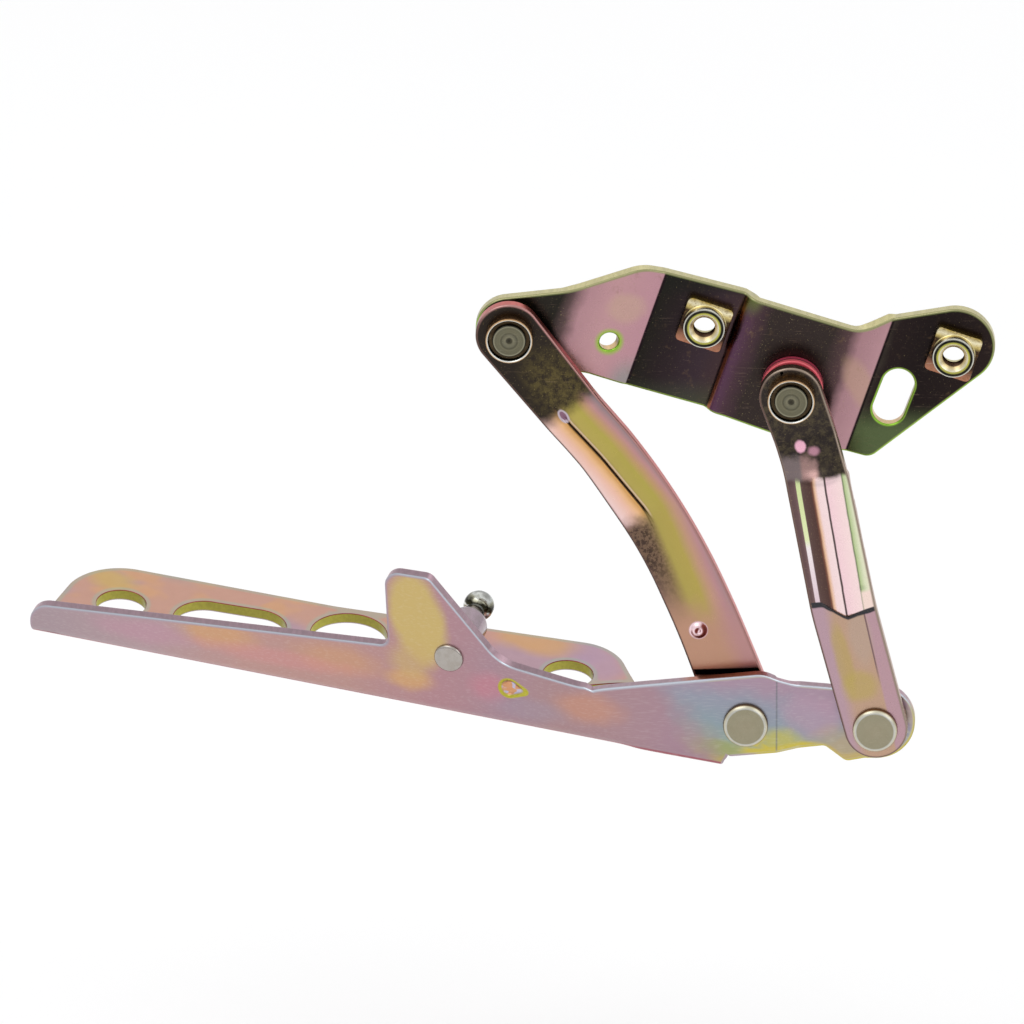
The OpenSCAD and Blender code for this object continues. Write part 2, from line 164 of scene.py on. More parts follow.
# ------------------------------------------------------------ formed sheets
def sheet_piece(name, outline, holes, place, t, grid, r_front=0.7, r_back=0.3, step=0.7, more=None):
    """Formed sheet: place(uv) gives points of the front surface and the unit direction into the sheet.
    Its sheared edges are rounded, more at the front than at the back."""
    outer = resampled(outline, step)
    if area2(outer) < 0:
        outer = outer[::-1]
    loops = [outer]
    for h in holes:
        h = resampled(h, step)
        if area2(h) > 0:
            h = h[::-1]
        loops.append(h)
    normals = [inward(lp) for lp in loops]

    steps = []
    for k in range(5):
        a = math.pi / 2 * k / 4
        steps.append((r_front * (1 - math.sin(a)), r_front * (1 - math.cos(a)), math.cos(a), math.sin(a)))
    steps.append((0.0, (r_front + t - r_back) / 2, 0.0, 1.0))
    for k in range(4):
        a = math.pi / 2 * k / 3
        steps.append((r_back * (1 - math.cos(a)), t - r_back * (1 - math.sin(a)), -math.sin(a), math.cos(a)))

    eps = 0.02

    def surface(uv):
        p, into = place(uv)
        return p, into

    verts, norms, uvs, rims, depths, faces = [], [], [], [], [], []
    base = 0
    ring_start = []
    for lp, nm in zip(loops, normals):
        n = len(lp)
        ring_start.append(base)
        p0, in0 = surface(lp)
        pe, _ = surface(lp + nm * eps)
        side = pe - p0
        side -= (side * in0).sum(1)[:, None] * in0
        side /= np.linalg.norm(side, axis=1)[:, None]
        for d, e, cf, cs in steps:
            q = lp + nm * d
            p, into = surface(q)
            verts.append(p + into * e)
            nn = -into * cf - side * cs
            norms.append(nn / np.linalg.norm(nn, axis=1)[:, None])
            uvs.append(q)
            rims.append(np.full(n, d))
            depths.append(np.full(n, e))
            base += n
        for k in range(len(steps) - 1):
            a = ring_start[-1] + k * n
            b = a + n
            for i in range(n):
                j = (i + 1) % n
                faces.append((a + i, a + j, b + j, b + i))

    def cap(offset, e, ring_index, flip):
        nonlocal base
        ring_loops = [lp + nm * offset for lp, nm in zip(loops, normals)]
        g = grid[inside(grid, ring_loops)]
        far = rim_distance(g, ring_loops)
        g = g[far > 0.45]
        pts = np.vstack(ring_loops + [g])
        edges = []
        s = 0
        for lp in ring_loops:
            n = len(lp)
            edges += [(s + i, s + (i + 1) % n) for i in range(n)]
            s += n
        out = delaunay_2d_cdt([Vector((float(x), float(y))) for x, y in pts], edges, [], 0, 1e-6)
        ov, of, orig = out[0], out[2], out[3]
        cent = np.array([[sum(ov[i][k] for i in f) / 3 for k in (0, 1)] for f in of])
        keep = inside(cent, ring_loops)
        p, into = surface(g)
        first = base
        verts.append(p + into * e)
        norms.append(-into if e == 0 else into)
        uvs.append(g)
        rims.append(rim_distance(g, loops))
        depths.append(np.full(len(g), e))
        base += len(g)
        index = []
        counts = [len(lp) for lp in ring_loops]
        for k in range(s):
            li, r = 0, k
            while r >= counts[li]:
                r -= counts[li]
                li += 1
            index.append(ring_start[li] + ring_index * counts[li] + r)
        for f, ok in zip(of, keep):
            if not ok:
                continue
            ids = []
            for i in f:
                k = orig[i][0] if orig[i] else None
                if k is None:
                    break
                ids.append(index[k] if k < s else first + k - s)
            if len(ids) == 3 and len(set(ids)) == 3:
                faces.append(tuple(ids[::-1]) if flip else tuple(ids))

    cap(r_front, 0.0, 0, False)
    cap(r_back, t, len(steps) - 1, True)

    co = np.vstack(verts)
    nr = np.vstack(norms)
    me = bpy.data.meshes.new(name)
    # faces wind so that they agree with the stored normals
    for i, f in enumerate(faces):
        a, b, c = co[f[0]], co[f[1]], co[f[2]]
        ref = nr[list(f)].sum(0)
        geo = np.cross(b - a, c - a)
        if len(f) == 4:
            geo = np.cross(c - a, co[f[3]] - b)
        if geo @ ref < 0:
            faces[i] = f[::-1]
    me.from_pydata([tuple(c) for c in co * MM], [], faces)
    me.update()
    for key, val in (("u", np.vstack(uvs)[:, 0]), ("v", np.vstack(uvs)[:, 1]), ("rim", np.concatenate(rims)), ("depth", np.concatenate(depths))):
        at = me.attributes.new(key, "FLOAT", "POINT")
        at.data.foreach_set("value", val.astype(np.float32))
    if more:
        for key, fn in more.items():
            at = me.attributes.new(key, "FLOAT", "POINT")
            at.data.foreach_set("value", fn(np.vstack(uvs)).astype(np.float32))
    me.polygons.foreach_set("use_smooth", [True] * len(me.polygons))
    me.normals_split_custom_set_from_vertices([tuple(n) for n in nr])
    ob = bpy.data.objects.new(name, me)
    bpy.context.scene.collection.objects.link(ob)
    return ob


def finite(place_points, uv, h=0.01):
    """Points and inward directions of a surface from its points alone."""
    p = place_points(uv)
    du = place_points(uv + [h, 0]) - place_points(uv - [h, 0])
    dv = place_points(uv + [0, h]) - place_points(uv - [0, h])
    n = np.cross(du, dv)
    n /= np.linalg.norm(n, axis=1)[:, None]
    return p, n


def spaced(stops):
    """Values along a line: stops are (value, spacing after it)."""
    out = []
    for (a, s), (b, _) in zip(stops[:-1], stops[1:]):
        k = max(1, int(round((b - a) / s)))
        out += [a + (b - a) * i / k for i in range(k)]
    out.append(stops[-1][0])
    return np.array(out)


def smooth(x):
    x = np.clip(x, 0, 1)
    return x * x * (3 - 2 * x)


def lathe(name, rings, centre, segs=96, angle=32, start=0.0):
    """Turned piece about Y: rings are (radius, y) from the front."""
    verts, faces = [], []
    idx = []
    for r, y in rings:
        if r == 0:
            idx.append([len(verts)])
            verts.append((centre[0], y, centre[1]))
        else:
            idx.append(list(range(len(verts), len(verts) + segs)))
            for i in range(segs):
                a = start + 2 * math.pi * i / segs
                verts.append((centre[0] + r * math.cos(a), y, centre[1] + r * math.sin(a)))
    for a, b in zip(idx[:-1], idx[1:]):
        for i in range(segs):
            j = (i + 1) % segs
            if len(a) == 1 and len(b) == 1:
                continue
            if len(a) == 1:
                faces.append((a[0], b[i], b[j]))
            elif len(b) == 1:
                faces.append((a[i], b[0], a[j]))
            else:
                faces.append((a[i], b[i], b[j], a[j]))
    me = bpy.data.meshes.new(name)
    me.from_pydata([tuple(np.array(v) * MM) for v in verts], [], faces)
    me.update()
    finish_mesh(me, angle)
    mark_turned(me, centre, min(y for r, y in rings))
    ob = bpy.data.objects.new(name, me)
    bpy.context.scene.collection.objects.link(ob)
    return ob


def mark_turned(me, centre, front):
    """Radius from the axis and depth behind the foremost point, in mm, for the materials."""
    co = np.array([v.co for v in me.vertices]) * 1000
    for key, val in (("radius", np.hypot(co[:, 0] - centre[0], co[:, 2] - centre[1])), ("back", co[:, 1] - front)):
        at = me.attributes.new(key, "FLOAT", "POINT")
        at.data.foreach_set("value", val.astype(np.float32))


def finish_mesh(me, angle):
    import bmesh
    bm = bmesh.new()
    bm.from_mesh(me)
    bmesh.ops.remove_doubles(bm, verts=bm.verts, dist=1e-7)
    bmesh.ops.recalc_face_normals(bm, faces=bm.faces)
    bm.to_mesh(me)
    bm.free()
    me.polygons.foreach_set("use_smooth", [True] * len(me.polygons))
    me.set_sharp_from_angle(angle=math.radians(angle))


def corner(r, y, r_in, y_in, k=4):
    """Quarter round from (r_in, y) on a face to (r, y_in) on a wall, as rings."""
    out = []
    for i in range(k + 1):
        a = math.pi / 2 * i / k
        out.append((r_in + (r - r_in) * math.sin(a), y_in + (y - y_in) * math.cos(a)))
    return out


# ------------------------------------------------------------ body bracket
LEAN = math.radians(18.5)
BRACKET_OUT = rounded([
    (-73.7, 8.8, 10.8), (-41, 13.0, 30), (-19.5, 18.8, 14), (14.5, 10.0, 5),
    (17.8, 8.7, 5), (51, -1.6, 14), (61, 1.9, 14), (127.4, 13.9, 12.8),
    (53.5, -46.4, 4.5), (30, -40, 60), (6, -31.2, 30), (-27, -21.8, 12),
    (-38, -17.2, 16), (-73.7, -9.8, 9.5)])
BRACKET_MID = bent([
    (-120, LOBE_Y + 2), (-46, LOBE_Y + 2, 14), (-17, 2, 5), (10.2, 2, 2.6),
    (12.8, PAD_Y + 2, 2.6), (48, PAD_Y + 2, 9), (57, 2, 3.5), (140, 2)])
BRACKET_FRONT = shifted(BRACKET_MID, -2.0)


def across_folds(x, z, lean):
    return x * math.cos(lean) - z * math.sin(lean)


def bracket_points(uv):
    p = across_folds(uv[:, 0], uv[:, 1], LEAN)
    y = np.interp(p, BRACKET_FRONT[:, 0], BRACKET_FRONT[:, 1])
    return np.stack([uv[:, 0], y, uv[:, 1]], 1)


def into_y(points):
    def place(uv):
        p, n = finite(points, uv)
        n = np.where(n[:, 1:2] < 0, -n, n)
        return p, n
    return place


def lean_grid(lean, qs, ss, origin=(0, 0)):
    c, s = math.cos(lean), math.sin(lean)
    g = np.array([(q * c + w * s, -q * s + w * c) for q in qs for w in ss])
    return g + np.array(origin)


bracket_q = spaced([(-82, 3), (-54, 1), (-38, 2.5), (-21, 0.6), (-13, 2.5), (7, 0.5), (9.5, 0.22), (13.6, 0.5), (16, 2.5), (44, 0.8), (51, 1.5), (54.5, 0.4), (59.5, 2.5), (128, 3)])
bracket = sheet_piece(
    "bracket_plate", BRACKET_OUT,
    [circle(*PA, 5.0, 60), circle(*PB, 5.0, 60), circle(0, 0, 4.6, 60), circle(*NUT_2, 4.6, 60),
     circle(-30.7, -6.4, 3.0, 56),
     stadium((61 - 4.6 * math.sin(math.radians(20)), -25.2 - 4.6 * math.cos(math.radians(20))),
             (61 + 4.6 * math.sin(math.radians(20)), -25.2 + 4.6 * math.cos(math.radians(20))), 5.2)],
    into_y(bracket_points), T, np.vstack([lean_grid(LEAN, bracket_q, np.arange(-75, 60, 2.6)),
                                          [(x, z) for x in np.arange(54.3, 74, 1.1) for z in np.arange(-44.2, -30, 1.1)]]),
    r_front=0.75, r_back=0.3,
    more={"p": lambda uv: across_folds(uv[:, 0], uv[:, 1], LEAN)})
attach(bracket, "body_side")
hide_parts("body_bracket")

# ------------------------------------------------------------ main link
M_LEAN = math.radians(52)
MAIN_OUT = rounded([
    (-60.6, 15, 10.7), (-4.5, -61.4, 250), (11, -96.4, 400),
    (28.2, -140.3, 10.7), (7, -147.3, 10.7),
    (-8, -104.5, 300), (-20, -76.5, 160), (-42.5, -42, 300), (-78, 1.4, 10.7)])
MAIN_MID = bent([(-40, MAIN_TOP + 2), (33, MAIN_TOP + 2, 30), (51, MAIN_LOW + 2, 30), (240, MAIN_LOW + 2)])
MAIN_FRONT = shifted(MAIN_MID, -2.0)
CREASE = bent([(-45.6, -27.2), (-17.4, -63, 30), (-2.4, -101)], 0.8)


def signed_to(line, uv):
    """Distance from a line, positive to its right as it runs down, and how far along it each point lies."""
    best = np.full(len(uv), 1e9)
    sign = np.ones(len(uv))
    along = np.zeros(len(uv))
    s0 = 0.0
    for i, (a, b) in enumerate(zip(line[:-1], line[1:])):
        ab = b - a
        ln = np.linalg.norm(ab)
        t = ((uv - a) @ ab) / (ln * ln)
        lo = -1e9 if i == 0 else 0
        hi = 1e9 if i == len(line) - 2 else 1
        tc = np.clip(t, lo, hi)
        q = a + tc[:, None] * ab
        d = np.linalg.norm(uv - q, axis=1)
        cr = ab[0] * (uv[:, 1] - a[1]) - ab[1] * (uv[:, 0] - a[0])
        upd = d < best
        best = np.where(upd, d, best)
        sign = np.where(upd, np.where(cr > 0, 1, -1), sign)
        along = np.where(upd, s0 + tc * ln, along)
        s0 += ln
    return best * sign, along


def main_points(uv):
    q = across_folds(uv[:, 0] - PA[0], uv[:, 1] - PA[1], M_LEAN)
    y = np.interp(q, MAIN_FRONT[:, 0], MAIN_FRONT[:, 1])
    d, s = signed_to(CREASE, uv)
    on = smooth((s + 1.0) / 6) * smooth((76 - s) / 30)
    sharp = smooth((s + 0.5) / 2.5) * smooth((60 - s) / 14)
    # right of the crease the sheet is rounded like a shallow barrel, left of it tilts back
    y = y - on * 0.9 * np.clip(1 - np.abs(d) / 9.0, 0, 1) ** 1.3
    # pinched groove along the crease, steeper on its left side
    y = y + sharp * 0.75 * np.exp(-((d + 0.15) / np.where(d < -0.15, 0.45, 0.8)) ** 2)
    # nub with a dimple
    r = np.hypot(uv[:, 0] + 1.5, uv[:, 1] + 102.9)
    y = y - 1.0 * smooth((2.9 - r) / 1.4) + 0.7 * smooth((1.0 - r) / 0.7)
    return np.stack([uv[:, 0], y, uv[:, 1]], 1)


main_q = spaced([(-14, 2), (20, 1.5), (60, 1.2), (170, 1.2)])
g_main = lean_grid(math.radians(60), spaced([(-14, 1.3), (160, 1.3)]), np.arange(-50, 50, 1.3), PA)
d_c, s_c = signed_to(CREASE, g_main)
far_from_crease = (np.abs(d_c) > 2.0) | (s_c < -2) | (s_c > 74)
far_from_nub = np.hypot(g_main[:, 0] + 1.5, g_main[:, 1] + 102.9) > 3.6
g_main = g_main[far_from_crease & far_from_nub]
crease_rows = []
cum = np.concatenate([[0], np.cumsum(np.linalg.norm(np.diff(CREASE, axis=0), axis=1))])
for s in np.arange(-1.5, 74, 0.7):
    i = min(max(int(np.searchsorted(cum, s)) - 1, 0), len(CREASE) - 2)
    a, b = CREASE[i], CREASE[i + 1]
    t_dir = (b - a) / np.linalg.norm(b - a)
    n_dir = np.array([-t_dir[1], t_dir[0]])
    for d in (-1.6, -1.1, -0.75, -0.45, -0.15, 0.2, 0.55, 0.95, 1.5):
        crease_rows.append(a + t_dir * (s - cum[i]) + n_dir * d)
nub = [(-1.5 + r * math.cos(a), -102.9 + r * math.sin(a)) for r in (0.01, 0.35, 0.65, 0.95, 1.25, 1.55, 1.9, 2.25, 2.6, 2.95, 3.3) for a in np.linspace(0, 2 * math.pi, 20, endpoint=False)[: 1 if r < 0.1 else 20]]
nub = np.array(nub)
crease_rows = np.array(crease_rows)
crease_rows = crease_rows[np.hypot(crease_rows[:, 0] + 1.5, crease_rows[:, 1] + 102.9) > 3.7]
g_main = np.vstack([g_main, crease_rows, nub])
main_link = sheet_piece(
    "main_link_plate", MAIN_OUT, [circle(*PA, 6.25, 60), circle(*PD, 6.25, 60)],
    into_y(main_points), T, g_main, r_front=0.7, r_back=0.3,
    more={"q": lambda uv: across_folds(uv[:, 0] - PA[0], uv[:, 1] - PA[1], M_LEAN),
          "d": lambda uv: signed_to(CREASE, uv)[0],
          "s": lambda uv: signed_to(CREASE, uv)[1]})
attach(main_link, "main_arm")
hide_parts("main_link")

# ------------------------------------------------------------ rear link
R_LEAN = math.radians(74.5)
REAR_OUT = rounded([
    (34.9, -6.6, 10.3), (47.3, -45.5, 60), (56.2, -90.5, 120),
    (68.6, -139.4, 10.1), (49, -145, 10.1),
    (35.2, -93, 120), (26.2, -44.5, 60), (15.1, -13.6, 10.3)])
REAR_MID = bent([(-40, REAR_TOP + 2), (15, REAR_TOP + 2, 9), (27, REAR_LOW + 2, 9), (200, REAR_LOW + 2)])
REAR_FRONT = shifted(REAR_MID, -2.0)
RIB = bent([(36.6, -36.0), (38.6, -50, 40), (45.6, -93, 60), (48, -104)], 0.8)


def chevron(d):
    """Where the rib ends: a blunt V across the link."""
    return 58.3 - 0.78 * np.maximum(0, 1.1 - np.maximum(d, -6.3)) - 0.17 * np.maximum(0, d - 1.1)


def rear_points(uv):
    q = across_folds(uv[:, 0] - PB[0], uv[:, 1] - PB[1], R_LEAN)
    y = np.interp(q, REAR_FRONT[:, 0], REAR_FRONT[:, 1])
    d, s = signed_to(RIB, uv)
    on = smooth((s - 6) / 6) * smooth((chevron(d) + 0.6 - s) / 1.8)
    hill = np.interp(d, [-9.6, -7.6, -2.6, -1.2, 1.2, 3.0, 7.4, 9.6], [0, 0.24, 1.86, 2.18, 2.18, 1.66, 0.32, 0])
    y = y - on * hill
    y = y + 0.5 * smooth((s - 8) / 3) * smooth((50 - s) / 2) * np.exp(-((d - 7.6) / 0.9) ** 2)
    return np.stack([uv[:, 0], y, uv[:, 1]], 1)


def rear_points_soft(uv):
    # the pressed rib's edges are eased by averaging over a small patch
    acc = 0
    offs = [(0, 0, 2), (0.6, 0, 1), (-0.6, 0, 1), (0, 0.6, 1), (0, -0.6, 1), (1.1, 0, 0.6), (-1.1, 0, 0.6)]
    for dx, dz, w in offs:
        acc = acc + w * rear_points(uv + [dx, dz])[:, 1]
    y = acc / sum(o[2] for o in offs)
    return np.stack([uv[:, 0], y, uv[:, 1]], 1)


g_rear = lean_grid(math.radians(80), spaced([(-14, 1.0), (66, 0.45), (80, 1.0), (140, 1.0)]), np.arange(-25, 25, 0.8), PB)
rear_link = sheet_piece(
    "rear_link_plate", REAR_OUT, [circle(*PB, 6.25, 60), circle(*PC, 5.0, 60)],
    into_y(rear_points_soft), T, g_rear, r_front=0.7, r_back=0.3,
    more={"q": lambda uv: across_folds(uv[:, 0] - PB[0], uv[:, 1] - PB[1], R_LEAN),
          "d": lambda uv: signed_to(RIB, uv)[0],
          "s": lambda uv: signed_to(RIB, uv)[1],
          "end": lambda uv: signed_to(RIB, uv)[1] - chevron(signed_to(RIB, uv)[0])})
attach(rear_link, "rear_arm")
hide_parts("rear_link")


# ------------------------------------------------------------ bonnet lever
def rot(axis, deg):
    return np.array(Matrix.Rotation(math.radians(deg), 3, axis))


ARM = rot("Z", -15) @ rot("X", 9.5) @ rot("Y", 5.2)
ARM_O = np.array([-37.4, LEVER_Y, -121.7])
H_DIR, N_DIR, W_DIR = ARM[:, 0], ARM[:, 1], ARM[:, 2]
FALL = math.radians(10.3)
L_DIR = np.array([math.cos(FALL), 0, -math.sin(FALL)])
U_DIR = np.array([math.sin(FALL), 0, math.cos(FALL)])
D_O = np.array([-27.6, LEVER_Y, -142.9])
FOLD_W = 20.8
Y_DIR = np.array([0.0, 1.0, 0.0])
FOLD = 6.5
ARC = FOLD * math.pi / 2
mit = ARM[:, 1] - Y_DIR
mit /= np.linalg.norm(mit)
LEVER_FRONT = shifted(bent([(-80, LEVER_Y + 2), (24, LEVER_Y + 2, 4), (31, EYE_Y + 2, 6), (120, EYE_Y + 2)]), -2.0)


def fold_section(s):
    """Depth behind the web's front face and height above the fold's corner at s across the sheet, s = 0 where the fold starts."""
    a = np.clip(-s, 0, ARC) / FOLD
    n = FOLD * (1 - np.cos(a)) + np.maximum(-s - ARC, 0)
    w = FOLD * (1 - np.sin(a)) + np.maximum(s, 0)
    return n, w


def arm_line(s):
    n, w = fold_section(s)
    return ARM_O + n[:, None] * N_DIR + (w - FOLD_W)[:, None] * W_DIR


def pad_line(s):
    n, w = fold_section(s)
    return D_O + n[:, None] * Y_DIR + w[:, None] * U_DIR


def arm_at_mitre(s):
    p = arm_line(s)
    return -((p - ARM_O) @ mit) / (H_DIR @ mit)


def pad_at_mitre(s):
    p = pad_line(s)
    return -((p - ARM_O) @ mit) / (L_DIR @ mit)


def soft_pos(x, r):
    return 0.5 * (x + np.sqrt(x * x + r * r)) - 0.0


def lever_points(uv):
    a, s = uv[:, 0], uv[:, 1]
    pa_ = arm_line(s) + arm_at_mitre(s)[:, None] * H_DIR
    pd_ = pad_line(s) + pad_at_mitre(s)[:, None] * L_DIR
    r = 2.2
    plus = soft_pos(a, r)
    minus = -soft_pos(-a, r)
    w = 0.5 * (1 + a / np.sqrt(a * a + 9.0))
    p = pa_ * (1 - w)[:, None] + pd_ * w[:, None] + plus[:, None] * L_DIR + minus[:, None] * H_DIR
    # past the fold's end the web is flat
    l = a + pad_at_mitre(s)
    flat = smooth((l - 35.0) / 2.5)
    q = D_O + s[:, None] * U_DIR + FOLD * U_DIR + l[:, None] * L_DIR
    far = flat[:, None] * (a > 5)[:, None]
    p = p * (1 - far) + q * far
    p[:, 1] += np.where(a > 10, np.interp(p[:, 0], LEVER_FRONT[:, 0], LEVER_FRONT[:, 1]) - LEVER_Y, 0)
    # locating dimple, a small cup with a tail
    h, wv = a + arm_at_mitre(s), s + FOLD - FOLD_W
    t = np.clip((h + 24.5) / 4.5, 0, 1)
    dd = np.hypot(h + 26.0 - 5.0 * t, wv + 4.9 + 0.5 * t)
    size = 3.1 - 2.2 * t
    web_only = (s > 0) * (a < -8)
    cup = smooth((size - dd) / 1.2) * (1 - 0.7 * t) * web_only
    p += (0.8 * cup)[:, None] * N_DIR
    lip = np.exp(-((dd - size - 0.35) / 0.55) ** 2) * (1 - 0.7 * t) * web_only
    p -= (0.3 * lip)[:, None] * N_DIR
    return p


def lever_place(uv):
    p, n = finite(lever_points, uv, 0.02)
    return p, -n


def from_web(h, w):
    s = w + FOLD_W - FOLD
    return h - float(arm_at_mitre(np.array([s]))[0]), s


def from_flange(h, n):
    s = -ARC - (n - FOLD)
    return h - float(arm_at_mitre(np.array([s]))[0]), s


def from_arm(h, s):
    return h - float(arm_at_mitre(np.array([s]))[0]), s


def from_pad(x, z):
    l = (x - D_O[0]) * math.cos(FALL) - (z - D_O[2]) * math.sin(FALL)
    s = (x - D_O[0]) * math.sin(FALL) + (z - D_O[2]) * math.cos(FALL) - FOLD
    return l - float(pad_at_mitre(np.array([s]))[0]), s


def from_lip(l, s):
    return l - float(pad_at_mitre(np.array([s]))[0]), s


def chain(conv, pts, step=0.4):
    """Rounded stretch of outline. Its first and last points only give directions."""
    out = []
    for i in range(1, len(pts) - 1):
        out += fillet(pts[i - 1], pts[i], pts[i + 1], step)
    fine = []
    for a, b in zip(out[:-1], out[1:]):
        k = max(1, int(np.linalg.norm(b - a) / 1.0))
        fine += [a + (b - a) * t / k for t in range(k)]
    fine.append(out[-1])
    return [np.array(conv(float(q[0]), float(q[1]))) for q in fine]


W0 = FOLD_W - FOLD
LEVER_OUT = np.array(
    chain(from_arm, [(-186.6, -16, 0), (-188.4, -18.6 + W0 - 5, 3), (-188.4, -8.4 + W0, 6.5), (-67.4, 2.1 + W0, 0)])
    + chain(from_web, [(-188.4, -8.4, 0), (-67.4, 2.1, 3), (-69.9, 30, 5), (-54.9, 30.6, 4), (-29.8, 3.4, 16), (-0.5, -0.1, 0), (20, -2, 0)])
    + chain(from_pad, [(-37.4, -121.7, 0), (-36.0, -121.55, 0), (19.5, -115.5, 10), (30, -119.9, 12), (44, -121, 20), (56, -119.8, 0), (68.7, -119.8, 12.6),
                       (68.7, -145.2, 12.6), (52.5, -145.2, 3), (46.5, -146.4, 3), (39.6, -141, 2.5), (24, -142.9, 30), (8.6, -144.4, 0.8), (7.2, -141.5, 0)])
    + chain(from_lip, [(35.2, 3, 0), (34.7, -4.4, 0), (34.4, -12.5, 2.5), (8, -25.7, 10), (-8, -29.7, 5), (-15, -41.7, 0)])
    + chain(from_flange, [(10.7, 26, 0), (5, 36, 3), (-6, 54.2, 16), (-98, 46.2, 60), (-182, 45, 19), (-186.2, 9, 10), (-187, 5, 0)]))

BALL_H, BALL_W = -46.7, 2.2


def pad_circle(c, r, n=72):
    ring = circle(c[0], c[1], r, n)
    return np.array([from_pad(x, z) for x, z in ring])


def flange_loop(ring):
    return np.array([from_flange(x, y) for x, y in ring])


slot_c, slot_d = np.array([-127.9, 24.8]), 8.2 * np.array([math.cos(math.radians(3)), math.sin(math.radians(3))])
lever_holes = [
    pad_circle(PD, 5.0), pad_circle(PC, 7.4),
    np.array([from_web(x, y) for x, y in circle(BALL_H, BALL_W, 4.0, 56)]),
    flange_loop(circle(-164.5, 23.6, 8.1)), flange_loop(circle(-15.6, 33.1, 8.1)),
    flange_loop(circle(-89.5, 31.4, 12.5, 96)), flange_loop(stadium(slot_c - slot_d, slot_c + slot_d, 10.5))]

a_vals = spaced([(-192, 3.0), (-45, 1.6), (-34, 0.6), (-14, 1.6), (-6, 0.7), (6, 2.4), (110, 2.4)])
s_vals = spaced([(-62, 3.0), (-12, 1.0), (1.5, 1.6), (5.5, 0.5), (13.5, 1.8), (60, 2.4)])
g_lever = np.array([(a, s) for a in a_vals for s in s_vals])


def dimple_edge(uv):
    """Distance outside the dimple's rim, negative inside it."""
    a, s = uv[:, 0], uv[:, 1]
    h, wv = a + arm_at_mitre(s), s + FOLD - FOLD_W
    t = np.clip((h + 24.5) / 4.5, 0, 1)
    dd = np.hypot(h + 26.0 - 5.0 * t, wv + 4.9 + 0.5 * t)
    return np.where(s > 0, np.abs(np.clip(dd - (3.1 - 2.2 * t), -3, 9)) * np.sign(dd - (3.1 - 2.2 * t)), 9.0)


lever = sheet_piece("lever_plate", LEVER_OUT, lever_holes, lever_place, T, g_lever,
                    r_front=0.7, r_back=0.35, step=0.8, more={"dimple": dimple_edge, "px": lambda uv: lever_points(uv)[:, 0]})
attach(lever, "bonnet_arm")
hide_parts("bonnet_lever")


# ------------------------------------------------------------ turned pieces
def collar(name, p, y0, body, node):
    rings = [(5.0, y0 + 1.5), (6.55, y0 + 1.5), (6.75, y0 + 0.45)]
    rings += [(6.95, y0 + 0.12), (7.1, y0)]
    rings += corner(7.6, y0, 7.3, y0 + 0.3)
    rings += [(7.6, y0 + 3.6), (7.35, y0 + 4.0), (5.0, y0 + 4.0), (5.0, y0 + 1.5)]
    ob = lathe(name, rings, p)
    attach(ob, body)
    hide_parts(node)
    return ob


def pin(name, p, y0, y1, head, body, node):
    """Pin with a formed end: a dished centre, turned rings and a rounded rim."""
    rings = [(0, y0 + 0.55), (0.7, y0 + 0.5), (1.15, y0 + 0.25), (1.45, y0 + 0.08), (1.9, y0 + 0.05),
             (2.2, y0 + 0.09), (2.5, y0 + 0.03), (3.3, y0 + 0.02), (3.5, y0 + 0.07), (3.7, y0 + 0.01), (4.5, y0)]
    rings += corner(5.45, y0, 4.9, y0 + 0.45)
    rings += [(5.45, y0 + 1.2), (5.2, y0 + 1.4), (5.0, y0 + 1.4), (5.0, y1), (6.7, y1), (7.0, y1 + 0.3)]
    rings += [(7.0, y1 + head - 0.6), (6.6, y1 + head - 0.1), (6.0, y1 + head), (2.0, y1 + head), (1.4, y1 + head - 0.5), (0, y1 + head - 0.7)]
    ob = lathe(name, rings, p)
    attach(ob, body)
    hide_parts(node)
    return ob


def rivet(name, p, r, y_face, y_back, head, body, node):
    f = y_face - 2.2
    rings = [(0, f + 0.06), (1.6, f + 0.03), (1.9, f + 0.07), (2.2, f + 0.02), (r - 2.4, f), (r - 2.2, f + 0.04), (r - 2.0, f), (r - 1.15, f)]
    rings += [(r - 0.95, f + 0.08), (r - 0.3, f + 0.62), (r - 0.08, f + 0.85), (r, f + 1.1), (r, y_face - 0.15), (r - 0.15, y_face)]
    rings += [(5.0, y_face), (5.0, y_back), (6.8, y_back), (7.0, y_back + 0.2), (7.0, y_back + head - 0.6), (6.5, y_back + head - 0.08), (6.0, y_back + head), (0, y_back + head)]
    ob = lathe(name, rings, p)
    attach(ob, body)
    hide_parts(node)
    return ob


collar_a = collar("collar_a", PA, -18.6, "body_side", "main_pivot_collar")
collar_b = collar("collar_b", PB, -20.1, "body_side", "rear_pivot_collar")
pin_a = pin("pin_a", PA, -18.5, -3.0, 2.4, "body_side", "main_pivot_pin")
pin_b = pin("pin_b", PB, -20.0, 0.0, 2.4, "body_side", "rear_pivot_pin")
rivet_d = rivet("rivet_d", PD, 7.25, LEVER_Y, -5.8, 2.2, "bonnet_arm", "lever_front_rivet")
rivet_c = rivet("rivet_c", PC, 7.25, REAR_LOW, EYE_Y + 6.3, 2.0, "rear_arm", "lever_rear_rivet")


def washer(name, p, y0, y1, ro, ri, body, node, c=0.35):
    rings = [(ri, y0 + 0.1), (ri + 0.15, y0)] + corner(ro, y0, ro - c, y0 + c) + [(ro, y1 - c), (ro - c * 0.3, y1 - c * 0.3), (ro - c, y1), (ri + 0.15, y1), (ri, y1 - 0.1), (ri, y0 + 0.1)]
    ob = lathe(name, rings, p)
    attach(ob, body)
    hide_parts(node)
    return ob


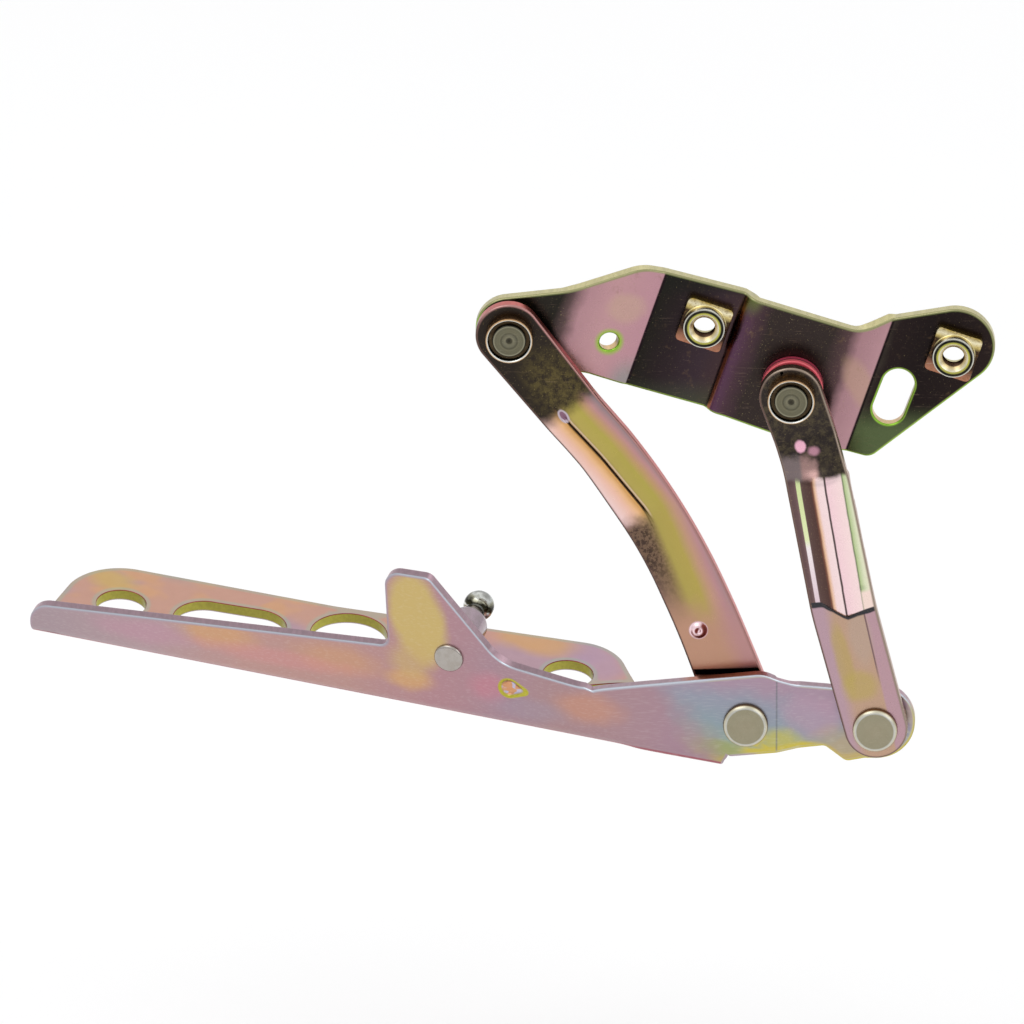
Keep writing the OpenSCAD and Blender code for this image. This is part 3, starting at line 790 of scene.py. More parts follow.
spacer_b = washer("spacer_b", PB, -9.0, -4.0, 10.0, 5.0, "body_side", "rear_pivot_spacer", 0.6)
washer_b = washer("washer_b", PB, -11.3, -9.0, 8.2, 5.0, "body_side", "rear_pivot_washer")
washer_a = washer("washer_a", PA, -9.8, -7.0, 9.0, 5.0, "body_side", "main_pivot_washer")
washer_d = washer("washer_d", PD, -13.0, -10.6, 9.0, 5.0, "bonnet_arm", "lever_front_washer")
spacer_c = washer("spacer_c", PC, -17.0, EYE_Y - 0.1, 10.0, 5.0, "rear_arm", "lever_rear_spacer", 0.6)
washer_c = washer("washer_c", PC, EYE_Y + 4.1, EYE_Y + 6.3, 10.0, 5.0, "rear_arm", "lever_rear_washer")


def weld_nut(name, p, node):
    """Square nut with rounded corners, a raised round neck and a chamfered, threaded bore."""
    segs = 96
    half, cr = 7.75, 1.6

    def square(inset):
        loop = rounded([(-half + inset, -half + inset, max(cr - inset, 0.3)), (half - inset, -half + inset, max(cr - inset, 0.3)),
                        (half - inset, half - inset, max(cr - inset, 0.3)), (-half + inset, half - inset, max(cr - inset, 0.3))], 0.3)
        ang = (np.arctan2(loop[:, 1], loop[:, 0]) + 2 * math.pi) % (2 * math.pi)
        order = np.argsort(ang)
        ang, loop = ang[order], loop[order]
        a = np.arange(segs) * 2 * math.pi / segs
        x = np.interp(a, ang, loop[:, 0], period=2 * math.pi)
        y = np.interp(a, ang, loop[:, 1], period=2 * math.pi)
        return np.stack([x, y], 1)

    def ring(r):
        a = np.arange(segs) * 2 * math.pi / segs
        return np.stack([r * np.cos(a), r * np.sin(a)], 1)

    rows = [(square(0.0), 0.0), (square(0.0), -2.9), (square(0.12), -3.2), (square(0.45), -3.4),
            (ring(7.3), -3.4), (ring(7.1), -3.45), (ring(6.85), -3.7), (ring(6.8), -4.2), (ring(6.8), -5.9), (ring(6.65), -6.35), (ring(6.3), -6.5),
            (ring(4.85), -6.5), (ring(4.7), -6.42), (ring(3.6), -5.5)]
    y = -5.5
    while y < -0.9:
        rows += [(ring(3.85), y + 0.3), (ring(3.5), y + 0.62)]
        y += 0.62
    rows += [(ring(3.6), -0.3), (ring(3.9), 0.0), (square(0.0), 0.0)]
    c, s = math.cos(LEAN), math.sin(LEAN)
    verts, faces = [], []
    for loop, yy in rows:
        for x, z in loop:
            verts.append(((p[0] + x * c + z * s) * MM, yy * MM, (p[1] - x * s + z * c) * MM))
    for k in range(len(rows) - 1):
        for i in range(segs):
            j = (i + 1) % segs
            faces.append((k * segs + i, k * segs + j, (k + 1) * segs + j, (k + 1) * segs + i))
    me = bpy.data.meshes.new(name)
    me.from_pydata(verts, [], faces)
    me.update()
    finish_mesh(me, 34)
    mark_turned(me, p, -6.5)
    co = np.array([v.co for v in me.vertices]) * 1000
    at = me.attributes.new("lift", "FLOAT", "POINT")
    at.data.foreach_set("value", ((co[:, 0] - p[0]) * math.sin(LEAN) + (co[:, 2] - p[1]) * math.cos(LEAN)).astype(np.float32))
    ob = bpy.data.objects.new(name, me)
    bpy.context.scene.collection.objects.link(ob)
    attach(ob, "body_side")
    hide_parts(node)
    return ob


nut_1 = weld_nut("nut_front", NUT_1, "front_weld_nut")
nut_2 = weld_nut("nut_rear", NUT_2, "rear_weld_nut")


def ball_piece():
    reach, r = 33.5, 5.0
    rings = [(0, -1.15), (1.2, -1.2), (3.6, -1.25), (4.3, -1.1), (4.75, -0.75), (4.9, -0.3), (4.9, 0.0), (4.0, 0.0), (4.0, 4.0), (6.1, 4.0), (6.5, 4.35),
             (6.5, 21.2), (6.3, 21.8), (6.15, 22.2), (4.05, 26.9), (3.75, 27.5), (3.25, 28.1), (3.1, 28.7)]
    a0 = math.pi - math.asin(3.1 / r)
    for i in range(31):
        a = a0 * (1 - i / 30)
        rings.append((r * math.sin(a) if i < 30 else 0, reach + r * math.cos(a)))
    ob = lathe("ball_stud_turned", rings, (0, 0), segs=96, angle=40)
    o = ARM_O + BALL_H * H_DIR + BALL_W * W_DIR
    m = Matrix(((H_DIR[0], N_DIR[0], W_DIR[0], o[0] * MM), (H_DIR[1], N_DIR[1], W_DIR[1], o[1] * MM),
                (H_DIR[2], N_DIR[2], W_DIR[2], o[2] * MM), (0, 0, 0, 1)))
    at = ob.data.attributes.new("reach", "FLOAT", "POINT")
    at.data.foreach_set("value", [v.co.y * 1000 for v in ob.data.vertices])
    ob.data.transform(m)
    ob.data.update()
    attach(ob, "bonnet_arm")
    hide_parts("ball_stud")
    return ob


stud = ball_piece()


# ------------------------------------------------------------ materials
def srgb(r, g, b):
    def f(c):
        c /= 255
        return c / 12.92 if c <= 0.04045 else ((c + 0.055) / 1.055) ** 2.4
    return (f(r), f(g), f(b), 1.0)


class Look:
    """Small helper that builds one node material."""

    def __init__(self, name, metallic=1.0, rough=0.3):
        self.mat = bpy.data.materials.new(name)
        self.mat.use_nodes = True
        self.nt = self.mat.node_tree
        self.nt.nodes.clear()
        self.out = self.nt.nodes.new("ShaderNodeOutputMaterial")
        self.bsdf = self.nt.nodes.new("ShaderNodeBsdfPrincipled")
        self.nt.links.new(self.bsdf.outputs[0], self.out.inputs[0])
        self.bsdf.inputs["Metallic"].default_value = metallic
        self.bsdf.inputs["Roughness"].default_value = rough
        tc = self.nt.nodes.new("ShaderNodeTexCoord")
        sc = self.nt.nodes.new("ShaderNodeVectorMath")
        sc.operation = "SCALE"
        sc.inputs["Scale"].default_value = 1000.0
        self.nt.links.new(tc.outputs["Object"], sc.inputs[0])
        self.pos = sc.outputs[0]

    def put(self, sock, val):
        if isinstance(val, bpy.types.NodeSocket):
            self.nt.links.new(val, sock)
        else:
            sock.default_value = val

    def attr(self, name):
        n = self.nt.nodes.new("ShaderNodeAttribute")
        n.attribute_name = name
        return n.outputs["Fac"]

    def math(self, op, a, b=0.0, c=0.0):
        n = self.nt.nodes.new("ShaderNodeMath")
        n.operation = op
        self.put(n.inputs[0], a)
        self.put(n.inputs[1], b)
        self.put(n.inputs[2], c)
        return n.outputs[0]

    def mask(self, x, a, b):
        """0 before a and 1 after b, eased."""
        n = self.nt.nodes.new("ShaderNodeMapRange")
        n.interpolation_type = "SMOOTHSTEP"
        if a <= b:
            lo, hi, t0, t1 = a, b, 0.0, 1.0
        else:
            lo, hi, t0, t1 = b, a, 1.0, 0.0
        self.put(n.inputs["Value"], x)
        n.inputs["From Min"].default_value = lo
        n.inputs["From Max"].default_value = hi
        n.inputs["To Min"].default_value = t0
        n.inputs["To Max"].default_value = t1
        return n.outputs[0]

    def ramp(self, x, stops):
        """Colour along x: stops are (value, colour)."""
        lo, hi = stops[0][0], stops[-1][0]
        m = self.nt.nodes.new("ShaderNodeMapRange")
        self.put(m.inputs["Value"], x)
        m.inputs["From Min"].default_value = lo
        m.inputs["From Max"].default_value = hi
        n = self.nt.nodes.new("ShaderNodeValToRGB")
        el = n.color_ramp.elements
        while len(el) < len(stops):
            el.new(0.5)
        for e, (v, c) in zip(el, stops):
            e.position = (v - lo) / (hi - lo)
            e.color = c
        self.nt.links.new(m.outputs[0], n.inputs[0])
        return n.outputs[0]

    def mix(self, f, a, b, mode="MIX"):
        n = self.nt.nodes.new("ShaderNodeMix")
        n.data_type = "RGBA"
        n.blend_type = mode
        self.put(n.inputs[0], f)
        self.put(n.inputs[6], a)
        self.put(n.inputs[7], b)
        return n.outputs[2]

    def mul(self, a, b):
        return self.math("MULTIPLY", a, b)

    def noise(self, scale, detail=3.0, rough=0.5, stretch=None, turn=(0, 0, 0), color=False, distort=0.0):
        vec = self.pos
        if stretch:
            mp = self.nt.nodes.new("ShaderNodeMapping")
            self.nt.links.new(self.pos, mp.inputs[0])
            mp.inputs["Rotation"].default_value = [math.radians(a) for a in turn]
            mp.inputs["Scale"].default_value = stretch
            vec = mp.outputs[0]
        n = self.nt.nodes.new("ShaderNodeTexNoise")
        self.nt.links.new(vec, n.inputs["Vector"])
        n.inputs["Scale"].default_value = scale
        n.inputs["Detail"].default_value = detail
        n.inputs["Roughness"].default_value = rough
        n.inputs["Distortion"].default_value = distort
        return n.outputs["Color" if color else "Fac"]

    def bump(self, height, strength, distance=0.0001, normal=None):
        n = self.nt.nodes.new("ShaderNodeBump")
        n.inputs["Strength"].default_value = strength
        n.inputs["Distance"].default_value = distance
        self.put(n.inputs["Height"], height)
        if normal is not None:
            self.nt.links.new(normal, n.inputs["Normal"])
        return n.outputs[0]

    def spot(self, x, y, centre, radii, turn=0.0, soft=0.35, uneven=0.5, scale=0.12):
        """1 inside an ellipse in the x, y attributes, 0 outside it, with a soft, uneven edge."""
        c, s = math.cos(math.radians(turn)), math.sin(math.radians(turn))
        dx, dy = self.math("SUBTRACT", x, centre[0]), self.math("SUBTRACT", y, centre[1])
        e = self.math("MULTIPLY_ADD", dx, c / radii[0], self.mul(dy, s / radii[0]))
        f = self.math("MULTIPLY_ADD", dx, -s / radii[1], self.mul(dy, c / radii[1]))
        r = self.math("SQRT", self.math("ADD", self.mul(e, e), self.mul(f, f)))
        if uneven > 0:
            r = self.math("MULTIPLY_ADD", self.math("SUBTRACT", self.noise(scale, 2, 0.5), 0.5), uneven, r)
        return self.mask(r, 1 + soft, 1 - soft)

    def light_facing(self, x, z):
        """How far a surface turns towards (x, z) of the object's own front plane; used to paint light and shade by
        which way a surface faces.
        """
        tc = self.nt.nodes.new("ShaderNodeTexCoord")
        sp = self.nt.nodes.new("ShaderNodeSeparateXYZ")
        self.nt.links.new(tc.outputs["Normal"], sp.inputs[0])
        return self.math("MULTIPLY_ADD", sp.outputs[0], x, self.mul(sp.outputs[2], z))

    def scratches(self, turn, fine=1.0, lo=0.62, hi=0.72):
        """Thin streaks along one direction, broken up."""
        s = self.noise(0.9 * fine, 4, 0.7, stretch=(0.06, 2.2, 2.2), turn=turn)
        k = self.noise(0.22, 3, 0.6)
        return self.mul(self.mask(s, lo, hi), self.mask(k, 0.42, 0.62))

    def done(self, color, rough=None, normal=None):
        self.put(self.bsdf.inputs["Base Color"], color)
        if rough is not None:
            self.put(self.bsdf.inputs["Roughness"], rough)
        if normal is not None:
            self.nt.links.new(normal, self.bsdf.inputs["Normal"])
        return self.mat


def wear_and_glints(k, color, scratch_color, glint_color, amount=0.8):
    """Scratches in two directions and small sparkles, painted glints, over a colour."""
    sc = k.math("MAXIMUM", k.scratches((0, 35, 0)), k.scratches((0, -58, 0), 1.3))
    color = k.mix(k.mul(sc, amount), color, scratch_color)
    sp = k.mask(k.noise(2.6, 2, 0.6), 0.66, 0.75)
    return k.mix(k.mul(sp, amount), color, glint_color), sc


def zinc_finish(k, color, sc=None, rough_lo=0.2, rough_hi=0.42, bump=0.25):
    base = k.noise(0.35, 4, 0.6)
    fine = k.noise(3.2, 3, 0.6)
    r = k.math("MULTIPLY_ADD", base, rough_hi - rough_lo, rough_lo)
    r = k.math("MULTIPLY_ADD", fine, 0.08, r)
    hgt = k.math("MULTIPLY_ADD", fine, 0.35, k.noise(0.8, 2, 0.5))
    if sc is not None:
        hgt = k.math("MULTIPLY_ADD", sc, -0.8, hgt)
    return k.done(color, r, k.bump(hgt, bump, 0.00006))


def tint(k, color, strength=0.1):
    """Slow drift of the passivation colour between pink, green and ochre."""
    n = k.noise(0.07, 3, 0.55)
    drift = k.ramp(n, [(0.3, srgb(150, 185, 120)), (0.45, srgb(205, 180, 120)), (0.58, srgb(205, 150, 150)), (0.72, srgb(150, 160, 185))])
    return k.mix(strength, color, drift, "OVERLAY")


def edge_look(k, color, wall, rim_highlight_color, back, shaded_wall_color, shaded_rim_color):
    """Adds the rolled rim, the sheared wall and the back of a sheet. The rim colour is a painted edge highlight. Edges
    that face down or left differ from the others, painted as their shaded side.
    """
    rim, dep = k.attr("rim"), k.attr("depth")
    turn = k.mask(k.light_facing(0.45, 0.9), -0.25, 0.3)
    roll = k.mask(rim, 0.95, 0.3)
    color = k.mix(k.mul(roll, k.mask(dep, 3.0, 2.5)), color, k.mix(turn, shaded_rim_color, rim_highlight_color))
    n = k.noise(0.9, 3, 0.6, stretch=(1, 0.2, 1))
    wall_c = k.mix(k.mul(k.mask(n, 0.35, 0.65), 0.16), k.mix(turn, shaded_wall_color, wall), srgb(60, 54, 44))
    is_wall = k.mul(k.mask(rim, 0.12, 0.03), k.mul(k.mask(dep, 0.45, 0.75), k.mask(dep, 3.85, 3.65)))
    color = k.mix(is_wall, color, wall_c)
    return k.mix(k.mask(dep, 3.9, 3.98), color, back)


def eased(k, x, amount, scale=0.16):
    return k.math("MULTIPLY_ADD", k.math("SUBTRACT", k.noise(scale, 3, 0.6), 0.5), amount, x)


# bracket: reflections painted by fold zone, dark flats and mauve ramps, with crisp bend lines in painted shade
k = Look("zinc_bracket")
p, x, z = k.attr("p"), k.attr("u"), k.attr("v")
soft = eased(k, p, 4.0, 0.12)
c = k.ramp(soft, [(-90, srgb(52, 46, 42)), (-47, srgb(42, 40, 36)), (-43.5, srgb(90, 72, 72)), (-39, srgb(172, 132, 138)), (-31, srgb(184, 142, 146)), (-16, srgb(180, 136, 146))])
c = k.mix(k.mul(k.spot(x, z, (-25, 5), (6, 5)), 0.5), c, srgb(190, 160, 138))
c = k.mix(k.mul(k.mask(z, -10, -20), k.mask(p, -26, -19)), c, srgb(150, 140, 140))
pad = k.ramp(soft, [(-17, srgb(36, 34, 30)), (-9, srgb(44, 36, 38)), (3, srgb(58, 46, 52)), (9.4, srgb(66, 50, 52))])
pad = k.mix(k.mul(k.mask(z, -18, -29), 0.4), pad, srgb(70, 84, 58))
pad = k.mix(k.mul(k.mask(z, 7, 13), 0.6), pad, srgb(32, 34, 30))
c = k.mix(k.mask(p, -17.1, -16.6), c, pad)
mid_painted_light = k.ramp(soft, [(11, srgb(92, 62, 84)), (15, srgb(74, 54, 62)), (20, srgb(54, 46, 44)), (40, srgb(54, 46, 44)), (46, srgb(84, 64, 66)), (50, srgb(160, 122, 128)), (57, srgb(176, 136, 142))])
mid_painted_light = k.mix(k.mul(k.spot(x, z, (50, -20), (4, 10), 20), 0.45), mid_painted_light, srgb(184, 152, 124))
c = k.mix(k.mask(p, 9.7, 10.1), c, srgb(150, 92, 66))
c = k.mix(k.mask(p, 10.5, 11.0), c, mid_painted_light)
c = k.mix(k.mul(k.mul(k.mask(p, 9.6, 10.6), k.mask(p, 17, 13)), k.mask(z, 2, 9)), c, srgb(96, 100, 62))
pad2 = k.ramp(soft, [(57, srgb(58, 52, 46)), (60, srgb(40, 32, 32)), (70, srgb(34, 28, 28)), (110, srgb(48, 38, 36))])
pad2 = k.mix(k.mask(z, -27, -38), pad2, srgb(84, 96, 64))
c = k.mix(k.mask(p, 57.2, 57.7), c, pad2)
# dark lines along the two bend creases: painted shade
c = k.mix(k.mul(k.mask(p, 56.7, 57.3), k.mask(p, 58.1, 57.5)), c, srgb(26, 20, 22))
c = k.mix(k.mul(k.mask(p, -17.6, -17.1), k.mask(p, -16.2, -16.8)), c, srgb(30, 22, 26))
hot = k.mul(k.mask(k.noise(0.3, 4, 0.7), 0.55, 0.75), k.mask(k.noise(0.08, 2, 0.5), 0.45, 0.6))
c = k.mix(k.mul(hot, 0.35), c, srgb(120, 96, 70))
c, sc = wear_and_glints(k, c, srgb(150, 126, 110), srgb(176, 160, 116), 0.65)
holes = k.math("MAXIMUM", k.spot(x, z, (61, -25.2), (7.4, 12.0), -20, 0.1, 0), k.spot(x, z, (-30.7, -6.4), (4.6, 4.6), 0, 0.12, 0.15))
c = k.mix(k.mul(k.spot(x, z, (-30.7, -6.4), (4.4, 4.4), 0, 0.2, 0.2), 0.9), c, srgb(150, 176, 74))
# bracket rim colour, a painted edge highlight, greener about the slot and small hole
rim_highlight_c = k.mix(holes, srgb(150, 148, 108), srgb(140, 186, 66))
col = edge_look(k, c, k.mix(holes, srgb(206, 198, 148), srgb(224, 190, 140)), rim_highlight_c, srgb(120, 98, 96), srgb(110, 90, 44), srgb(150, 184, 76))
bracket.data.materials.append(zinc_finish(k, col, sc, 0.16, 0.34, 0.3))

# main link
k = Look("zinc_main_link")
q, d, s, x, z = k.attr("q"), k.attr("d"), k.attr("s"), k.attr("u"), k.attr("v")
wob = eased(k, d, 1.2)
# the pale pink-cream left facet of the crease is a painted highlight
bands = k.ramp(wob, [
    (-13, srgb(120, 110, 112)), (-10.5, srgb(196, 160, 170)), (-7.5, srgb(232, 200, 196)), (-4.5, srgb(230, 186, 168)), (-2.4, srgb(226, 180, 136)), (-0.9, srgb(206, 156, 96)),
    (0.6, srgb(150, 130, 84)), (1.8, srgb(176, 160, 88)), (5.6, srgb(174, 160, 82)), (7.6, srgb(186, 150, 108)), (9.6, srgb(184, 138, 136)), (11.6, srgb(150, 128, 132)), (14, srgb(112, 118, 124))])
# painted shade in the crease bottom, with a painted highlight on its right flank
crease_shade_line = k.mul(k.mask(d, -0.65, -0.25), k.mask(d, 0.5, 0.15))
bands = k.mix(crease_shade_line, bands, srgb(34, 24, 20))
bands = k.mix(k.mul(k.mask(d, 0.3, 0.6), k.mask(d, 1.3, 0.9)), bands, srgb(206, 182, 150))
low = k.ramp(wob, [(-13, srgb(120, 96, 98)), (-8, srgb(140, 110, 104)), (-2, srgb(150, 124, 92)), (1.5, srgb(170, 154, 84)), (5.5, srgb(174, 156, 84)), (8.5, srgb(186, 146, 122)), (11, srgb(180, 136, 138)), (16, srgb(140, 126, 132))])
sm = eased(k, s, 7.0, 0.2)
body = k.mix(k.mask(sm, 41, 48), bands, low)
# darker mottled zone left of the crease, below its highlight: painted shade
fade = k.mul(k.mul(k.mask(sm, 44, 50), k.mask(sm, 84, 58)), k.mask(wob, 2.2, -3.5))
body = k.mix(k.mul(fade, 0.9), body, k.mix(k.mask(k.noise(0.9, 3, 0.7), 0.42, 0.6), srgb(58, 46, 42), srgb(112, 90, 74)))
body = k.mix(k.mask(eased(k, z, 8.0), -88, -104), body, k.mix(k.mask(wob, 4, 12), srgb(182, 140, 118), srgb(178, 134, 132)))
qq = eased(k, q, 5.0, 0.2)
# the upper end is painted dark as its reflection, with a worn mottled patch
upper = k.mix(k.mul(k.mul(k.spot(x, z, (-47, -17), (12, 8), -50, 0.6), k.mask(k.noise(0.5, 5, 0.85), 0.36, 0.62)), 0.7), srgb(48, 42, 38), srgb(104, 92, 56))
body = k.mix(k.mask(qq, 28, 35), upper, body)
body = k.mix(k.spot(x, z, (-45.0, -27.8), (1.5, 2.6), 36, 0.14, 0), body, srgb(190, 176, 186))
body = k.mix(k.spot(x, z, (-45.1, -27.6), (0.9, 1.8), 36, 0.2, 0), body, srgb(132, 98, 116))
body, sc = wear_and_glints(k, body, srgb(178, 150, 120), srgb(196, 176, 110), 0.4)
nub_r = k.spot(x, z, (-1.5, -102.9), (3.1, 3.1), 0, 0.08, 0)
# nub painted pale where it turns up-left and red-brown where it turns down-right: painted light and shade
nub_lit_and_shaded = k.mix(k.mask(k.light_facing(1.0, -0.4), -0.15, 0.2), srgb(244, 214, 220), srgb(120, 60, 54))
body = k.mix(nub_r, body, nub_lit_and_shaded)
# painted shadow: a black line across the link just above where it passes behind the lever
gap_shadow_level = k.math("MULTIPLY_ADD", x, -0.04, z)
body = k.mix(k.mul(k.mask(gap_shadow_level, -116.2, -116.6), k.mask(gap_shadow_level, -118.6, -118.2)), body, srgb(8, 6, 6))
col = edge_look(k, body, srgb(206, 104, 98), srgb(176, 130, 126), srgb(150, 124, 100), srgb(90, 66, 58), srgb(96, 78, 70))
main_link.data.materials.append(zinc_finish(k, col, sc, 0.18, 0.36, 0.3))

# rear link
k = Look("zinc_rear_link")
q, d, s, x, z, end = k.attr("q"), k.attr("d"), k.attr("s"), k.attr("u"), k.attr("v"), k.attr("end")
wob = eased(k, d, 0.35)
# pale highlight strip painted along the rib's left flank
flank_highlight = k.ramp(s, [(14, srgb(206, 218, 160)), (30, srgb(222, 230, 180)), (33, srgb(236, 226, 228)), (56, srgb(216, 190, 200))])
# light and shade painted across the rib: dark left slope, light top, dark ridge line, pink right slope
mid_painted_light = k.ramp(wob, [
    (-11, srgb(96, 76, 76)), (-9.0, srgb(104, 82, 82)), (-8.2, srgb(120, 96, 96)), (-5.9, srgb(92, 72, 68)), (-3.4, srgb(84, 62, 58)), (-2.8, srgb(120, 80, 66)), (-2.2, srgb(224, 182, 150)),
    (-1.2, srgb(238, 212, 212)), (0.9, srgb(240, 216, 216)), (1.15, srgb(80, 66, 66)), (1.5, srgb(84, 70, 70)), (1.8, srgb(238, 204, 210)), (6.6, srgb(242, 216, 214)), (7.0, srgb(104, 120, 84)), (7.4, srgb(180, 196, 146)), (8.8, srgb(216, 220, 188)), (10.5, srgb(232, 222, 200))])
mid_painted_light = k.mix(k.mul(k.mask(d, -8.3, -8.0), k.mask(d, -6.5, -6.8)), mid_painted_light, flank_highlight)
mid_painted_light = k.mix(k.mul(k.mask(d, 6.6, 7.4), k.mask(s, 49.5, 51)), mid_painted_light, srgb(238, 214, 204))
flat = k.mix(k.mask(d, -2, -7), k.mix(k.mask(d, 6.4, 7.4), srgb(184, 152, 130), srgb(180, 146, 154)), srgb(178, 148, 158))
flat = k.mix(k.mul(k.spot(x, z, (45.6, -108), (2.6, 12), 14), 0.62), flat, srgb(178, 156, 92))
flat = k.mix(k.mul(k.spot(x, z, (51, -117.5), (5.5, 5), 0), 0.62), flat, srgb(180, 160, 92))
flat = k.mix(k.mul(k.spot(x, z, (51, -100), (3.5, 10), 12), 0.5), flat, srgb(178, 158, 146))
flat = k.mix(k.mul(k.mul(k.mask(d, 6.3, 6.6), k.mask(d, 7.1, 6.8)), k.mask(z, -119, -108)), flat, srgb(124, 100, 100))
body = k.mix(k.mask(end, -0.6, 0.0), mid_painted_light, flat)
# painted shade where the rib ends in a blunt V
body = k.mix(k.mul(k.mask(end, -0.9, -0.4), k.mask(eased(k, end, 1.0, 0.3), 1.6, 0.9)), body, srgb(58, 58, 62))
# the upper end is painted dark as its reflection, mottled by noise
dark = k.mix(k.mul(k.mask(k.noise(0.45, 4, 0.8), 0.42, 0.62), 0.42), srgb(52, 46, 44), srgb(98, 88, 66))
left_face = k.mix(k.mask(d, -5, -6.5), srgb(160, 128, 124), srgb(126, 112, 112))
body = k.mix(k.mask(eased(k, s, 2.0, 0.3), 10.5, 8.5), body, k.mix(k.mask(eased(k, d, 3.0, 0.3), -1.5, 0.5), left_face, dark))
body = k.mix(k.mask(eased(k, z, 5.0, 0.25), -41.5, -38), body, dark)
# two painted pink glints on the upper joggle
body = k.mix(k.spot(x, z, (31.4, -36.2), (1.7, 1.9), 20, 0.25, 0.4, 0.6), body, srgb(246, 186, 206))
body = k.mix(k.mul(k.spot(x, z, (35.8, -37.4), (1.7, 1.3), 0, 0.5, 0.4, 0.6), 0.8), body, srgb(206, 150, 168))
body, sc = wear_and_glints(k, body, srgb(190, 160, 130), srgb(206, 186, 130), 0.3)
col = edge_look(k, body, srgb(176, 140, 120), srgb(150, 134, 120), srgb(150, 124, 108), srgb(70, 54, 46), srgb(110, 88, 80))
rear_link.data.materials.append(zinc_finish(k, col, sc, 0.16, 0.32, 0.28))

# lever: mauve with ochre patches, blue-green about the front pivot
k = Look("zinc_lever")
a, s, dep = k.attr("u"), k.attr("v"), k.attr("depth")
al = k.math("DIVIDE", k.math("ADD", k.attr("px"), 37.4), 0.962)
web = k.ramp(eased(k, al, 30, 0.03), [(-190, srgb(164, 146, 152)), (-150, srgb(176, 150, 154)), (-120, srgb(184, 146, 140)), (-80, srgb(182, 144, 138)), (-55, srgb(174, 134, 140)), (-30, srgb(166, 136, 146)), (-5, srgb(168, 136, 138)), (30, srgb(164, 134, 146))])
for at, r, f, cc in (((-126, 9), (12, 5), 0.7, srgb(206, 158, 110)), ((-85, 8), (13, 5), 0.6, srgb(200, 152, 116)), ((-105, 4), (24, 3), 0.4, srgb(206, 140, 140)), ((-60, 5.5), (7, 3.6), 0.75, srgb(206, 162, 108)),
                     ((-33, 8), (7, 5), 0.55, srgb(196, 126, 140)), ((0, 7), (10, 5), 0.5, srgb(204, 146, 112)), ((-150, 4), (14, 4), 0.4, srgb(190, 140, 160)), ((-20, 3), (12, 4), 0.5, srgb(158, 144, 158))):
    web = k.mix(k.mul(k.spot(al, s, at, r, 0, 0.55, 0.9, 0.09), f), web, cc)
fin = k.mul(k.spot(al, s, (-57.5, 29), (9.2, 16.5), 12, 0.22, 0.35, 0.1), 0.95)
web = k.mix(fin, web, srgb(198, 174, 112))
web = k.mix(k.mul(k.spot(al, s, (-59, 13), (7, 6), 0, 0.5, 0.5), 0.7), web, srgb(196, 168, 114))
padc = k.ramp(eased(k, s, 9.0, 0.09), [(-9, srgb(150, 120, 60)), (-5, srgb(182, 168, 78)), (0, srgb(170, 168, 120)), (4.5, srgb(146, 160, 150)), (10, srgb(140, 154, 162)), (17, srgb(148, 150, 164)), (24, srgb(164, 142, 158)), (30, srgb(168, 140, 156))])
padc = k.mix(k.mul(k.spot(al, s, (76, 17), (9, 7), 0, 0.4, 0.7), 0.6), padc, srgb(180, 146, 164))
padc = k.mix(k.mul(k.spot(al, s, (65, 6.5), (6.5, 4.5), 0, 0.45, 0.7), 0.85), padc, srgb(186, 178, 96))
padc = k.mix(k.mul(k.spot(al, s, (44, 1), (8, 2.6), 0, 0.4, 0.5), 0.8), padc, srgb(150, 158, 108))
padc = k.mix(k.mul(k.mul(k.mask(k.attr("rim"), 2.6, 1.2), k.mask(s, 9, 7)), k.mask(a, 40, 46)), padc, srgb(196, 180, 84))
padc = k.mix(k.mul(k.spot(al, s, (92, 6), (14, 9), 0, 0.4, 0.7), 0.7), padc, srgb(184, 160, 120))
web = k.mix(k.mask(eased(k, a, 18, 0.06), 22, 40), web, padc)
# the outer round of the fold into the flange is painted crimson as shade
web = k.mix(k.mask(s, -4.2, -5.4), web, srgb(150, 40, 60))
# thin grey line along the joggle's bend: painted shade
step_x = k.math("SUBTRACT", k.attr("px"), 24.0)
web = k.mix(k.mul(k.mul(k.mask(step_x, -0.4, -0.1), k.mask(step_x, 0.5, 0.1)), 0.6), web, srgb(108, 112, 118))
edge_d = k.attr("dimple")
web = k.mix(k.mul(k.mask(edge_d, 0.95, 0.4), k.mask(edge_d, -0.7, -0.2)), web, srgb(180, 172, 62))
web = k.mix(k.mask(edge_d, -0.3, -0.8), web, k.mix(k.mask(k.noise(0.3, 1, 0.4, stretch=(1, 1, 1.6), turn=(0, 30, 0)), 0.46, 0.54), srgb(190, 184, 206), srgb(206, 150, 110)))
web, sc = wear_and_glints(k, web, srgb(206, 190, 180), srgb(206, 194, 176), 0.16)
weave = k.mul(k.mask(k.noise(1.2, 2, 0.5, stretch=(0.25, 2, 2)), 0.5, 0.7), 0.07)
web = k.mix(weave, web, srgb(240, 236, 230))
back = k.mix(k.mask(k.noise(0.03, 2, 0.5), 0.42, 0.56), srgb(170, 140, 150), srgb(186, 144, 128))
back = k.mix(k.mul(k.mask(k.noise(0.05, 2, 0.5, turn=(0, 70, 20)), 0.52, 0.62), 0.75), back, srgb(196, 150, 112))
for at, r, f, cc in (((-163, -40), (7, 6), 0.8, srgb(190, 160, 96)), ((-140, -52), (10, 6), 0.5, srgb(166, 146, 140)), ((-20, -52), (14, 7), 0.8, srgb(196, 152, 104)), ((2, -46), (9, 10), 0.7, srgb(166, 140, 164)), ((-38, -50), (6, 8), 0.5, srgb(190, 140, 130))):
    back = k.mix(k.mul(k.spot(al, s, at, r, 0, 0.5, 0.8, 0.09), f), back, cc)
halo = k.mul(k.mask(k.attr("rim"), 2.2, 0.9), k.mask(s, -16, -19))
